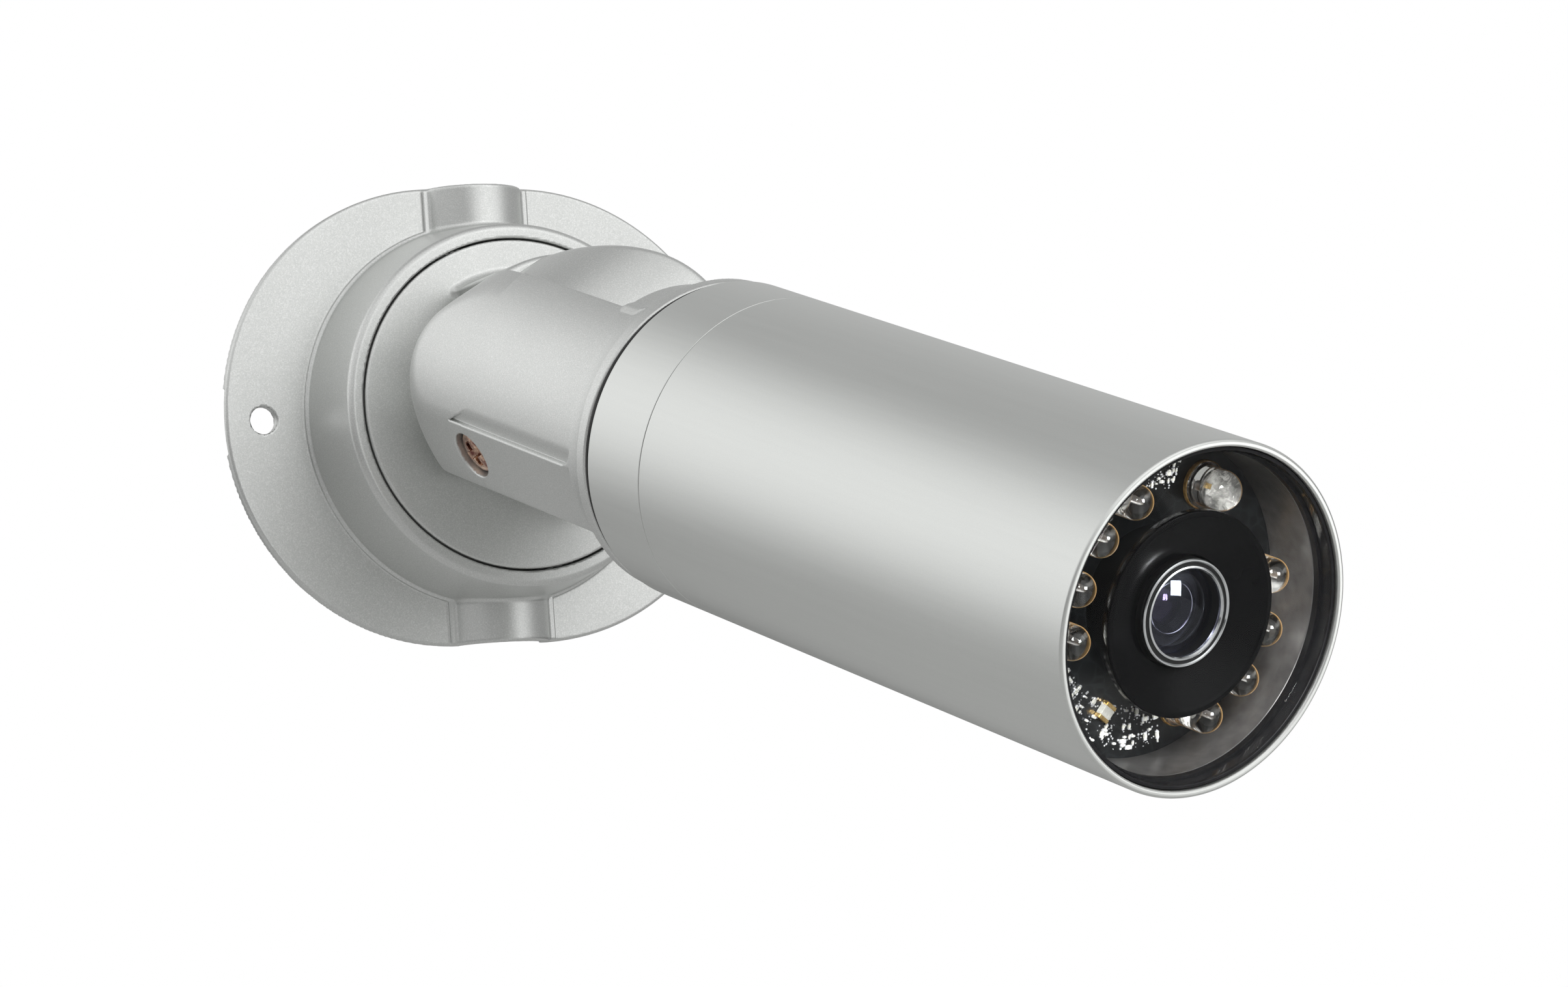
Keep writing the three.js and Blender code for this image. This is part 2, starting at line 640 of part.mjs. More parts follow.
function cableGrommet() {
  return turned([
    [3.2, 40.5],
    [8.2, 40.5],
    [8.2, CAP_WALL + 0.1],
    [10.2, CAP_WALL + 0.1],
    [9.8, 47.2],
    [3.2, 47.2],
  ], 24);
}

place(housingFrame, 'rear_cap', rearCap(), silverPaint);
place(housingFrame, 'roll_seal', ring(18, FLANGE_RADIUS - 0.1, FLANGE_FACE + 0.15, CAP_BACK - 0.1,
  SEGMENTS_LARGE), blackRubber);
place(housingFrame, 'roll_friction_washer', ring(STUB_RADIUS + 0.2, 16.4, 35.4, 36.1), steel);
place(housingFrame, 'roll_nut', ring(STUB_RADIUS + 0.1, 16.4, 31.8, 35.3), steel);
place(housingFrame, 'cable_grommet', cableGrommet(), blackRubber);
place(housingFrame, 'rear_o_ring', torusRing(22.72, 0.62, SEAM + 2.2), blackRubber);

// ---------------------------------------------------------------- housing tube and window

function housingTube() {
  const edge = 0.45;
  return turned([
    [TUBE_BORE, SEAM + 0.15],
    [HOUSING_RADIUS, SEAM + 0.15],
    ...arc(HOUSING_RADIUS - edge, FRONT - edge, edge, 0, Math.PI / 2, 3),
    [WINDOW_SEAT_RADIUS + 0.3, FRONT],
    [WINDOW_SEAT_RADIUS, FRONT - 0.3],
    [WINDOW_SEAT_RADIUS, WINDOW_SEAT_BACK],
    [TUBE_BORE, WINDOW_SEAT_BACK],
  ], SEGMENTS_LARGE);
}

function windowGasket() {
  return turned([
    [SLEEVE_BORE, WINDOW_SEAT_BACK + 0.1],
    [WINDOW_SEAT_RADIUS - 0.1, WINDOW_SEAT_BACK + 0.1],
    [WINDOW_SEAT_RADIUS - 0.1, GLASS_FRONT + 0.1],
    [GLASS_RADIUS + 0.15, GLASS_FRONT + 0.1],
    [GLASS_RADIUS + 0.15, GLASS_FRONT - GLASS_THICKNESS - 0.15],
    [SLEEVE_BORE, GLASS_FRONT - GLASS_THICKNESS - 0.15],
  ], SEGMENTS_LARGE);
}

function windowSpacer() {
  return ring(SLEEVE_BORE, SLEEVE_RADIUS, BOARD_FRONT + 0.1, WINDOW_SEAT_BACK, SEGMENTS_LARGE);
}

place(housingFrame, 'housing_tube', housingTube(), silverPaint);
place(housingFrame, 'window_gasket', windowGasket(), blackRubber);
place(housingFrame, 'window_glass', rod(GLASS_RADIUS, GLASS_FRONT - GLASS_THICKNESS, GLASS_FRONT,
  SEGMENTS_LARGE), clearGlass);
place(housingFrame, 'window_spacer', windowSpacer(), darkSleeve);

// ---------------------------------------------------------------- light board

function onCircle(body, circleRadius, angle) {
  return body.translate([circleRadius * Math.cos(angle), circleRadius * Math.sin(angle), 0]);
}

// A round-nosed lamp with its flange resting on the light board.
function lamp(radius, height) {
  const base = BOARD_FRONT + 0.1;
  return turned([
    [0, base],
    [radius + 0.4, base],
    [radius + 0.4, base + 1],
    [radius, base + 1],
    ...arc(0, base + height - radius, radius, 0, Math.PI / 2, 3),
  ], 12);
}

place(housingFrame, 'light_board', ring(BOARD_BORE, BOARD_RADIUS, BOARD_FRONT - BOARD_THICKNESS,
  BOARD_FRONT, SEGMENTS_LARGE), boardBlack);
[...LEFT_LED_ANGLES, ...RIGHT_LED_ANGLES].forEach((angle, i) => {
  const led = onCircle(lamp(LED_RADIUS, LED_HEIGHT), LED_CIRCLE, degrees(angle));
  place(housingFrame, `infrared_led_${i + 1}`, led, clearResin);
});
place(housingFrame, 'light_sensor', onCircle(lamp(LIGHT_SENSOR_RADIUS, LIGHT_SENSOR_HEIGHT), LED_CIRCLE,
  degrees(LIGHT_SENSOR_ANGLE)), clearResin);

// ---------------------------------------------------------------- lens

function lensShroud() {
  const base = BOARD_FRONT + 0.1;
  const front = GLASS_FRONT - GLASS_THICKNESS - 0.2;
  return turned([
    [LENS_HEAD_RADIUS + 0.4, base],
    [10.2, base],
    [14.5, front - 0.8],
    [14.5, front],
    [14.0, front],
    [LENS_HEAD_RADIUS + 0.4, front - 1.5],
  ], SEGMENTS_LARGE);
}

function lensBarrel() {
  const headBack = LENS_FRONT - 4.4;
  return turned([
    [4.3, LENS_BACK],
    [LENS_THREAD_RADIUS, LENS_BACK],
    [LENS_THREAD_RADIUS, headBack],
    [LENS_HEAD_RADIUS, headBack],
    [LENS_HEAD_RADIUS, LENS_FRONT - 0.7],
    [6.3, LENS_FRONT - 0.7],
    [6.3, LENS_FRONT - 3.0],
    [4.3, LENS_FRONT - 3.0],
  ]);
}

// A glass element with one bulging face towards +Z.
function lensElement(radius, back, edgeHeight, bulge) {
  const sphere = (radius * radius + bulge * bulge) / (2 * bulge);
  const top = back + edgeHeight + bulge;
  const points = [[0, back], [radius, back]];
  const steps = 4;
  const reach = Math.asin(radius / sphere);
  for (let i = 0; i <= steps; i += 1) {
    const angle = reach * (1 - i / steps);
    points.push([i === steps ? 0 : sphere * Math.sin(angle), top - sphere * (1 - Math.cos(angle))]);
  }
  return turned(points, 20);
}

function lensHolder() {
  const half = 8.5;
  const boreRadius = LENS_THREAD_RADIUS + 0.15;
  const foot = block([-half, -half, HOLDER_BASE], [half, half, HOLDER_BASE + 3.4]);
  const sleeve = rod(8.2, HOLDER_BASE + 3, HOLDER_TOP, 24);
  const room = block([-5.6, -5.6, HOLDER_BASE - 1], [5.6, 5.6, HOLDER_BASE + 2.4]);
  return cut(union(foot, sleeve), room, rod(boreRadius, HOLDER_BASE + 2, HOLDER_TOP + 1, 24));
}

place(housingFrame, 'lens_shroud', lensShroud(), blackPlastic);
place(housingFrame, 'lens_barrel', lensBarrel(), blackPlastic);
place(housingFrame, 'lens_front_ring', turned([
  [6.4, LENS_FRONT - 0.6],
  [LENS_HEAD_RADIUS, LENS_FRONT - 0.6],
  [LENS_HEAD_RADIUS, LENS_FRONT - 0.15],
  [LENS_HEAD_RADIUS - 0.15, LENS_FRONT],
  [6.55, LENS_FRONT],
  [6.4, LENS_FRONT - 0.15],
]), brightAluminium);
place(housingFrame, 'lens_front_element', lensElement(6.2, LENS_FRONT - 2.9, 0.7, 1.5), coatedGlass);
place(housingFrame, 'lens_rear_element', lensElement(4.15, LENS_BACK + 0.6, 1.2, 0.8), coatedGlass);
place(housingFrame, 'lens_holder', lensHolder(), blackPlastic);

// ---------------------------------------------------------------- boards and their fixings

const corners = [[1, 1], [-1, 1], [-1, -1], [1, -1]];

function cornerPlaces(makeBody) {
  return corners.map(([sx, sy]) => makeBody().translate([sx * POST_OFFSET, sy * POST_OFFSET, 0]));
}

function circuitBoard(back) {
  const half = CIRCUIT_SIZE / 2;
  const board = block([-half, -half, back], [half, half, back + CIRCUIT_THICKNESS]);
  return cut(board, ...cornerPlaces(() => rod(1.6, back - 1, back + 3, SEGMENTS_TINY)));
}

// The carrier holds the light board and stands on the sensor board by four posts.
function moduleCarrier() {
  const webBack = BOARD_FRONT - BOARD_THICKNESS - 1.9;
  const web = ring(9.5, BOARD_RADIUS, webBack, BOARD_FRONT - BOARD_THICKNESS - 0.1, SEGMENTS_MEDIUM);
  const postBottom = SENSOR_BOARD_BACK + CIRCUIT_THICKNESS + 0.1;
  const posts = cornerPlaces(() => rod(2.3, postBottom, webBack + 0.5, 12));
  const holes = cornerPlaces(() => rod(1.55, postBottom - 1, postBottom + 5, SEGMENTS_TINY));
  return cut(union(web, ...posts), ...holes);
}

function standoff() {
  const bottom = MAIN_BOARD_BACK + CIRCUIT_THICKNESS + 0.1;
  const top = SENSOR_BOARD_BACK - 0.1;
  const pillar = prism(hexagon(4.4), bottom, top);
  const stud = rod(1.4, top - 0.5, top + 5.4, SEGMENTS_TINY);
  return cut(union(pillar, stud), rod(1.55, bottom - 1, bottom + 5, SEGMENTS_TINY));
}

function imageSensor() {
  return block([-4.5, -4.0, HOLDER_BASE], [4.5, 4.0, HOLDER_BASE + 1.1]);
}

place(housingFrame, 'module_carrier', moduleCarrier(), blackPlastic);
place(housingFrame, 'image_sensor', imageSensor(), chipBlack);
place(housingFrame, 'sensor_board', circuitBoard(SENSOR_BOARD_BACK), boardGreen);
place(housingFrame, 'main_board', circuitBoard(MAIN_BOARD_BACK), boardGreen);
cornerPlaces(standoff).forEach((body, i) => {
  place(housingFrame, `board_standoff_${i + 1}`, body, brightAluminium);
});
cornerPlaces(() => panHeadScrew(2.5, 1.4, MAIN_BOARD_BACK - 1.8, MAIN_BOARD_BACK - 0.1,
  MAIN_BOARD_BACK + 5)).forEach((body, i) => {
  place(housingFrame, `board_screw_${i + 1}`, body, steel);
});

export default camera;
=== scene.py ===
import math
import random

import bmesh
import bpy
import numpy as np
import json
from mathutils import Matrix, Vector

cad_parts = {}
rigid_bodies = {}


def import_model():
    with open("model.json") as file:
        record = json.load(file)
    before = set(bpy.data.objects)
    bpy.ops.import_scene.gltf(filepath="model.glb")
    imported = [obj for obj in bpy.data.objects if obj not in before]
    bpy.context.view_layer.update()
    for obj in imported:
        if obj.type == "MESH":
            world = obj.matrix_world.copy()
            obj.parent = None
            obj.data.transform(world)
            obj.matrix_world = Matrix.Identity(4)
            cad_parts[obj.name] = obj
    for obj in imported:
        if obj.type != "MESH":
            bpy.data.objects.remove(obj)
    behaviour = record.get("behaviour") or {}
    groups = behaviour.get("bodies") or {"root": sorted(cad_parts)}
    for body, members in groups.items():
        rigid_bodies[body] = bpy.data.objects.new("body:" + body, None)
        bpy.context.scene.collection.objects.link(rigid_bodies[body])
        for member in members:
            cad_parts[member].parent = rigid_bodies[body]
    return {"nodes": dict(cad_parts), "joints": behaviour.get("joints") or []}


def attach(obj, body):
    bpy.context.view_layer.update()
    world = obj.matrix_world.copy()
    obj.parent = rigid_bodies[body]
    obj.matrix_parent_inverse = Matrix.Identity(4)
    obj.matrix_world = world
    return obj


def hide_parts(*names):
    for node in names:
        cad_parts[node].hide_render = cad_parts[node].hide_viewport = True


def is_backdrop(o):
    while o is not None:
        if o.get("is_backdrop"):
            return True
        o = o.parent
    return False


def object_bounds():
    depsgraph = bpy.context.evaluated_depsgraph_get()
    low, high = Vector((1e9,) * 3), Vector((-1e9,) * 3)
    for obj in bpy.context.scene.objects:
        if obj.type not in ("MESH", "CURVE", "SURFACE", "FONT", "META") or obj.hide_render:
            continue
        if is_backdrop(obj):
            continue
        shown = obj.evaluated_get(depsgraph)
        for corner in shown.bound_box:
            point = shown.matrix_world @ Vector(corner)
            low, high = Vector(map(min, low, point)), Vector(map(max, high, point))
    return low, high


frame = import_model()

import openvdb
from mathutils import Matrix, Vector

# The looks of the bullet camera on its wall bracket. The castings are distance fields,
# skinned by voxels, so that every edge and inner corner has the radius of a die casting.
# The turned pieces are revolved outlines. Sizes are in millimetres in three frames:
# WALL (z out of the wall), PAN (x along the clamp screw, z out of the wall) and
# ARM (x along the clamp screw, z along the tube, zero at the pivot).

cad_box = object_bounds()
nodes = frame["nodes"]
joints = {joint["name"]: joint for joint in frame["joints"]}
rng = random.Random(7)

# ------------------------------------------------------------------ frames and sizes

OUT = Vector((0, -1, 0))
PIVOT = Vector(joints["tilt"]["pos_m"])
SCREW_AXIS = Vector(joints["tilt"]["axis"]).normalized()
TUBE_AXIS = Vector(joints["roll"]["axis"]).normalized()


def local_frame(origin, x_axis, z_axis):
    """Matrix from millimetres in a local frame to metres in the row's frame."""
    y_axis = z_axis.cross(x_axis)
    matrix = Matrix((x_axis, y_axis, z_axis)).transposed().to_4x4()
    matrix.translation = origin
    return matrix @ Matrix.Scale(0.001, 4)


WALL = local_frame(Vector((0, 0, 0)), Vector((1, 0, 0)), OUT)
PAN = local_frame(Vector((0, 0, 0)), SCREW_AXIS, OUT)
ARM = local_frame(PIVOT, SCREW_AXIS, TUBE_AXIS)


def extent(node, local):
    """Lowest and highest corner of a CAD node in a local frame, in millimetres."""
    inverse = local.inverted()
    points = np.array([inverse @ v.co for v in nodes[node].data.vertices])
    return points.min(0), points.max(0)


plate_low, plate_high = extent("wall_plate", WALL)
disc_low, disc_high = extent("pan_knuckle", PAN)
arm_low, arm_high = extent("tilt_knuckle", ARM)
cap_low = extent("rear_cap", ARM)[0]
tube_low, tube_high = extent("housing_tube", ARM)
glass_low, glass_high = extent("window_glass", ARM)
board_low, board_high = extent("light_board", ARM)
shroud_low, shroud_high = extent("lens_shroud", ARM)
barrel_low, barrel_high = extent("lens_barrel", ARM)
sleeve_low, sleeve_high = extent("window_spacer", ARM)

PIVOT_HEIGHT = -PIVOT.y * 1000
COLLAR_TOP = plate_high[2]
PLATE_RADIUS = 38.1
PLATE_HALF_SPACING = plate_high[0] - PLATE_RADIUS
PLATE_BACK = plate_low[2]
PLATE_TOP = 2.4
SKIRT_TOP = 1.4
NOTCH_HALF_HEIGHT = 5.3
NOTCH_DEPTH = 2.2
SCREW_HOLE = 2.25
SCREW_HOLE_X = 39.2
COLLAR_FOOT = 31.7
COLLAR_RIM = 29.8
FOOT_STEP = 0.5  # the shallow step round the collar and the cable ways
SEAT_RADIUS = 27.4
SHELF_TOP = 13.5
SHELF_BORE = 20.2
CAVITY_RADIUS = 27.0
CAVITY_TOP = 11.5
WAY_HALF_WIDTH = 8.8
WAY_HEIGHT = 8.0
WAY_WALL = 1.8

DISC_RADIUS = 27.12
DISC_BOTTOM = 14.55
HUB_RADIUS = 19.8
HUB_BOTTOM = 10.9
PAN_SCREW_CIRCLE = 16
PAN_SCREW_COUNT = 3
PAN_SCREW_HOLE = 1.75
NUT_WIDTH = 7.4

EAR_FACE = 0.5
PAN_EAR = {"ear": 19.8, "depth": 27.0, "rounding": 9.0, "neck": 21.4}
BOSS_RADIUS = 6.0
POCKET_RADIUS = 14.5
POCKET_DEPTH = 11.0
PIN_HOLE = 2.2
CABLE_BORE = 6.5
CABLE_BORE_X = 8.2
NECK = 22.1
TILT_EAR = {"ear": 21.9, "depth": 21.5, "rounding": 10.8, "neck": NECK}
COUNTERBORE = 4.0
COUNTERBORE_FLOOR = 18.2
CLAMP_HEAD = 3.65
PAD_LEVEL = 21.2
LEDGE_LEVEL = 20.4
LEDGE_EDGE = -5.9
LEDGE_LOW = -13.4
LEDGE_BACK = -3.1
LEDGE_SLANT = 2.1
LEDGE_FRONT = 32.0
UNDER_LEVEL = 19.4
FLANGE_RADIUS = arm_high[0]
FLANGE_FACE = arm_high[2]
FLARE_BACK = 28.9
FLARE_START = 31.5
FLARE_END = 38.1

TUBE_RADIUS = tube_high[0]
FRONT = tube_high[2]
SEAM = tube_low[2] - 0.15
CAP_BACK = 41.35
CAP_EDGE = 0.7
SEAM_HALF_GAP = 0.05
SEAM_EDGE = 0.12
SPIGOT_RADIUS = 23.1
SPIGOT_END = 60.0
TUBE_BORE = 23.5
WINDOW_SEAT = 23.95
WINDOW_SEAT_BACK = 150.9
LIP = 0.42
SLEEVE_RADIUS = 23.3
SLEEVE_WALL = 0.55

LED_CIRCLE = 17.6
LAMP_ANGLES = [-90, -66, -42, -18, 87, 112, 137, 162]
LAMP_RADIUS = 2.5
LAMP_HEIGHT = 8.6
LIGHT_SENSOR_ANGLE = -148
LIGHT_SENSOR_RADIUS = 2.9
LIGHT_SENSOR_HEIGHT = 6.8

# ------------------------------------------------------------------ material helpers


def new_material(name):
    material = bpy.data.materials.new(name)
    material.use_nodes = True
    tree = material.node_tree
    shader = tree.nodes["Principled BSDF"]
    return material, tree, shader


def noise(tree, scale, detail=2.0, roughness=0.5, stretch=None):
    """Noise in object space, stretched along the tube's axis if asked."""
    coordinates = tree.nodes.new("ShaderNodeTexCoord")
    texture = tree.nodes.new("ShaderNodeTexNoise")
    texture.inputs["Scale"].default_value = scale
    texture.inputs["Detail"].default_value = detail
    texture.inputs["Roughness"].default_value = roughness
    if stretch is None:
        tree.links.new(coordinates.outputs["Object"], texture.inputs["Vector"])
    else:
        mapping = tree.nodes.new("ShaderNodeMapping")
        turn = TUBE_AXIS.to_track_quat("Z", "Y").inverted().to_euler()
        mapping.inputs["Rotation"].default_value = turn
        squeeze = tree.nodes.new("ShaderNodeMapping")
        squeeze.inputs["Scale"].default_value = stretch
        tree.links.new(coordinates.outputs["Object"], mapping.inputs["Vector"])
        tree.links.new(mapping.outputs["Vector"], squeeze.inputs["Vector"])
        tree.links.new(squeeze.outputs["Vector"], texture.inputs["Vector"])
    return texture.outputs["Fac"]


def ramp(tree, value, stops):
    """Colour ramp from (position, colour) stops."""
    node = tree.nodes.new("ShaderNodeValToRGB")
    elements = node.color_ramp.elements
    elements.remove(elements[1])
    elements[0].position = stops[0][0]
    elements[0].color = (*stops[0][1], 1.0)
    for position, colour in stops[1:]:
        elements.new(position).color = (*colour, 1.0)
    tree.links.new(value, node.inputs["Fac"])
    return node.outputs["Color"]


def spread(tree, value, low, high, start=0.3, end=0.7):
    """Maps a noise value to a range of numbers."""
    node = tree.nodes.new("ShaderNodeMapRange")
    node.inputs["From Min"].default_value = start
    node.inputs["From Max"].default_value = end
    node.inputs["To Min"].default_value = low
    node.inputs["To Max"].default_value = high
    tree.links.new(value, node.inputs["Value"])
    return node.outputs["Result"]


def bump(tree, shader, height, distance, strength=1.0):
    node = tree.nodes.new("ShaderNodeBump")
    node.inputs["Distance"].default_value = distance
    node.inputs["Strength"].default_value = strength
    tree.links.new(height, node.inputs["Height"])
    tree.links.new(node.outputs["Normal"], shader.inputs["Normal"])


def mottled(name, dark, light, roughness, metallic=0.0, grain=900.0, relief=0.00002, **sockets):
    """A finish whose colour, roughness and relief all follow fine noise."""
    material, tree, shader = new_material(name)
    shader.inputs["Metallic"].default_value = metallic
    for socket, value in sockets.items():
        shader.inputs[socket.replace("_", " ")].default_value = value
    fine = noise(tree, grain, 3.0, 0.6)
    tree.links.new(ramp(tree, fine, [(0.35, dark), (0.65, light)]), shader.inputs["Base Color"])
    rough = spread(tree, noise(tree, grain * 0.15, 2.0), roughness[0], roughness[1])
    tree.links.new(rough, shader.inputs["Roughness"])
    bump(tree, shader, fine, relief)
    return material


def cast_paint():
    """Silver paint with a fine sparkle over a slightly pebbled casting."""
    material, tree, shader = new_material("cast_silver_paint")
    shader.inputs["Metallic"].default_value = 0.85
    shader.inputs["Coat Weight"].default_value = 0.06
    shader.inputs["Coat Roughness"].default_value = 0.35
    flakes = noise(tree, 5200.0, 1.0, 0.4)
    clouds = noise(tree, 45.0, 3.0, 0.5)
    colour = ramp(tree, flakes, [(0.25, (0.63, 0.645, 0.63)), (0.55, (0.70, 0.71, 0.695)),
                                 (0.80, (0.82, 0.83, 0.82))])
    tree.links.new(colour, shader.inputs["Base Color"])
    tree.links.new(spread(tree, clouds, 0.36, 0.44), shader.inputs["Roughness"])
    pebbles = noise(tree, 1700.0, 2.0, 0.6)
    bump(tree, shader, pebbles, 0.000012, 0.5)
    return material


def tube_paint():
    """The drawn tube's satin paint, with faint streaks along its length."""
    material, tree, shader = new_material("tube_silver_paint")
    shader.inputs["Metallic"].default_value = 0.85
    shader.inputs["Coat Weight"].default_value = 0.05
    shader.inputs["Coat Roughness"].default_value = 0.3
    streaks = noise(tree, 900.0, 3.0, 0.6, stretch=(1.0, 1.0, 0.04))
    flakes = noise(tree, 6000.0, 1.0, 0.4)
    mix = tree.nodes.new("ShaderNodeMath")
    mix.operation = "MULTIPLY_ADD"
    mix.inputs[1].default_value = 0.5
    tree.links.new(streaks, mix.inputs[0])
    half = tree.nodes.new("ShaderNodeMath")
    half.operation = "MULTIPLY"
    half.inputs[1].default_value = 0.5
    tree.links.new(flakes, half.inputs[0])
    tree.links.new(half.outputs["Value"], mix.inputs[2])
    colour = ramp(tree, mix.outputs["Value"], [(0.30, (0.70, 0.715, 0.695)), (0.70, (0.74, 0.755, 0.735))])
    tree.links.new(colour, shader.inputs["Base Color"])
    tree.links.new(spread(tree, streaks, 0.34, 0.37), shader.inputs["Roughness"])
    bump(tree, shader, flakes, 0.000008, 0.4)
    return material


def edge_on(tree):
    """0 where a surface faces the eye, 1 where it is seen edge on."""
    weight = tree.nodes.new("ShaderNodeLayerWeight")
    weight.inputs["Blend"].default_value = 0.5
    return weight.outputs["Facing"]


def grazing(tree, floor):
    """How much a clear surface reflects: the floor value face on, all of it edge on."""
    power = tree.nodes.new("ShaderNodeMath")
    power.operation = "POWER"
    power.inputs[1].default_value = 4.5
    tree.links.new(edge_on(tree), power.inputs[0])
    share = tree.nodes.new("ShaderNodeMath")
    share.operation = "MULTIPLY_ADD"
    share.inputs[1].default_value = 1.0 - floor
    share.inputs[2].default_value = floor
    tree.links.new(power.outputs["Value"], share.inputs[0])
    return share.outputs["Value"]


def mixed(tree, share, first, second):
    """Mixes two shaders; a share of 1 is all of the second."""
    mixer = tree.nodes.new("ShaderNodeMixShader")
    tree.links.new(share, mixer.inputs["Fac"])
    tree.links.new(first, mixer.inputs[1])
    tree.links.new(second, mixer.inputs[2])
    return mixer.outputs["Shader"]


def see_through(name, tint, reflection, floor, roughness=0.04):
    """Clear material: sight and light go straight through, the rest is reflected."""
    material = bpy.data.materials.new(name)
    material.use_nodes = True
    tree = material.node_tree
    tree.nodes.remove(tree.nodes["Principled BSDF"])
    clear = tree.nodes.new("ShaderNodeBsdfTransparent")
    clear.inputs["Color"].default_value = (*tint, 1.0)
    gloss = tree.nodes.new("ShaderNodeBsdfGlossy")
    gloss.inputs["Color"].default_value = (*reflection, 1.0)
    marks = spread(tree, noise(tree, 120.0, 3.0), roughness * 0.3, roughness)
    tree.links.new(marks, gloss.inputs["Roughness"])
    both = mixed(tree, grazing(tree, floor), clear.outputs["BSDF"], gloss.outputs["BSDF"])
    tree.links.new(both, tree.nodes["Material Output"].inputs["Surface"])
    return material


def clear_epoxy():
    """The lamps' cast resin: clear, with a painted amber sheen at the grazing edges."""
    material, tree, shader = new_material("clear_epoxy")
    shader.inputs["Base Color"].default_value = (1.0, 0.985, 0.95, 1.0)
    shader.inputs["Transmission Weight"].default_value = 1.0
    shader.inputs["IOR"].default_value = 1.45
    marks = noise(tree, 700.0, 2.0)
    tree.links.new(spread(tree, marks, 0.02, 0.07), shader.inputs["Roughness"])
    bump(tree, shader, marks, 0.00001, 0.3)
    # painted amber sheen: an amber gloss mixed in where the resin is seen edge on
    rim = tree.nodes.new("ShaderNodeBsdfPrincipled")
    rim.inputs["Base Color"].default_value = (1.0, 0.60, 0.22, 1.0)
    rim.inputs["Metallic"].default_value = 0.6
    rim.inputs["Roughness"].default_value = 0.3
    edge = spread(tree, edge_on(tree), 0.0, 0.85, 0.58, 0.85)
    resin = mixed(tree, edge, shader.outputs["BSDF"], rim.outputs["BSDF"])
    path = tree.nodes.new("ShaderNodeLightPath")
    clear = tree.nodes.new("ShaderNodeBsdfTransparent")
    lit_inside = mixed(tree, path.outputs["Is Shadow Ray"], resin, clear.outputs["BSDF"])
    tree.links.new(lit_inside, tree.nodes["Material Output"].inputs["Surface"])
    return material


def circuit(name, mask, track):
    """Solder mask over faint copper tracks, glossy."""
    material, tree, shader = new_material(name)
    coordinates = tree.nodes.new("ShaderNodeTexCoord")
    cells = tree.nodes.new("ShaderNodeTexVoronoi")
    cells.feature = "DISTANCE_TO_EDGE"
    cells.inputs["Scale"].default_value = 420.0
    tree.links.new(coordinates.outputs["Object"], cells.inputs["Vector"])
    colour = ramp(tree, cells.outputs["Distance"], [(0.04, track), (0.07, mask)])
    tree.links.new(colour, shader.inputs["Base Color"])
    shader.inputs["Coat Weight"].default_value = 0.3
    tree.links.new(spread(tree, noise(tree, 600.0), 0.28, 0.42), shader.inputs["Roughness"])
    bump(tree, shader, cells.outputs["Distance"], 0.00002, 0.4)
    return material


CAST = cast_paint()
TUBE = tube_paint()
RUBBER = mottled("black_rubber", (0.012, 0.012, 0.012), (0.024, 0.024, 0.024), (0.62, 0.8), relief=0.00003)
FOAM = mottled("black_foam", (0.008, 0.008, 0.008), (0.03, 0.03, 0.03), (0.85, 0.95), grain=1600.0,
               relief=0.00012)
SATIN_BLACK = mottled("satin_black_gasket", (0.004, 0.004, 0.005), (0.009, 0.009, 0.01), (0.4, 0.5),
                      relief=0.000008, Specular_IOR_Level=0.3)
GLOSS_BLACK = mottled("gloss_black_plastic", (0.003, 0.003, 0.004), (0.005, 0.005, 0.006), (0.16, 0.24),
                      grain=70.0, relief=0.000004, Specular_IOR_Level=0.12)
MATT_BLACK = mottled("matt_black_plastic", (0.008, 0.008, 0.008), (0.014, 0.014, 0.014), (0.5, 0.62),
                     grain=2200.0)
SLEEVE = mottled("dark_grey_sleeve", (0.112, 0.108, 0.107), (0.155, 0.15, 0.148), (0.28, 0.38),
                 metallic=0.5, grain=500.0, relief=0.000004)
STEEL = mottled("zinc_plated_steel", (0.42, 0.42, 0.43), (0.62, 0.62, 0.64), (0.25, 0.45), metallic=1.0,
                relief=0.00001)
YELLOW_ZINC = mottled("yellow_zinc", (0.20, 0.08, 0.07), (0.86, 0.62, 0.46), (0.18, 0.36), metallic=1.0,
                      grain=900.0, relief=0.00002)
BRIGHT = mottled("bright_aluminium", (0.78, 0.79, 0.80), (0.9, 0.91, 0.92), (0.12, 0.25), metallic=1.0,
                 relief=0.000004)
REFLECTOR = mottled("lamp_reflector", (0.22, 0.22, 0.21), (0.98, 0.97, 0.95), (0.12, 0.35), metallic=0.85,
                    grain=950.0, relief=0.00025)
SOLDER = mottled("solder", (0.82, 0.82, 0.84), (0.96, 0.96, 0.97), (0.35, 0.5), metallic=0.75,
                 grain=2500.0, relief=0.00002)
GOLD = mottled("gold_plate", (0.72, 0.46, 0.16), (0.92, 0.68, 0.32), (0.18, 0.3), metallic=1.0,
               grain=2500.0, relief=0.00001)
AMBER = mottled("amber_epoxy_base", (0.55, 0.30, 0.08), (0.85, 0.56, 0.22), (0.15, 0.3), metallic=0.4,
                grain=1800.0, relief=0.00001, Coat_Weight=0.5)
CERAMIC = mottled("white_ceramic", (0.74, 0.73, 0.66), (0.88, 0.87, 0.80), (0.35, 0.5), grain=2500.0)
CHIP = mottled("chip_package", (0.012, 0.012, 0.013), (0.022, 0.022, 0.024), (0.35, 0.5), grain=2500.0)
BOARD = circuit("black_solder_mask", (0.006, 0.007, 0.008), (0.016, 0.018, 0.02))
GREEN_BOARD = circuit("green_solder_mask", (0.012, 0.10, 0.035), (0.03, 0.20, 0.07))
WINDOW = see_through("window_glass", (0.985, 0.99, 0.99), (1.0, 1.0, 1.0), 0.004)
EPOXY = clear_epoxy()
FRONT_LENS = see_through("front_lens_glass", (0.92, 0.92, 0.98), (0.82, 0.86, 1.0), 0.03)
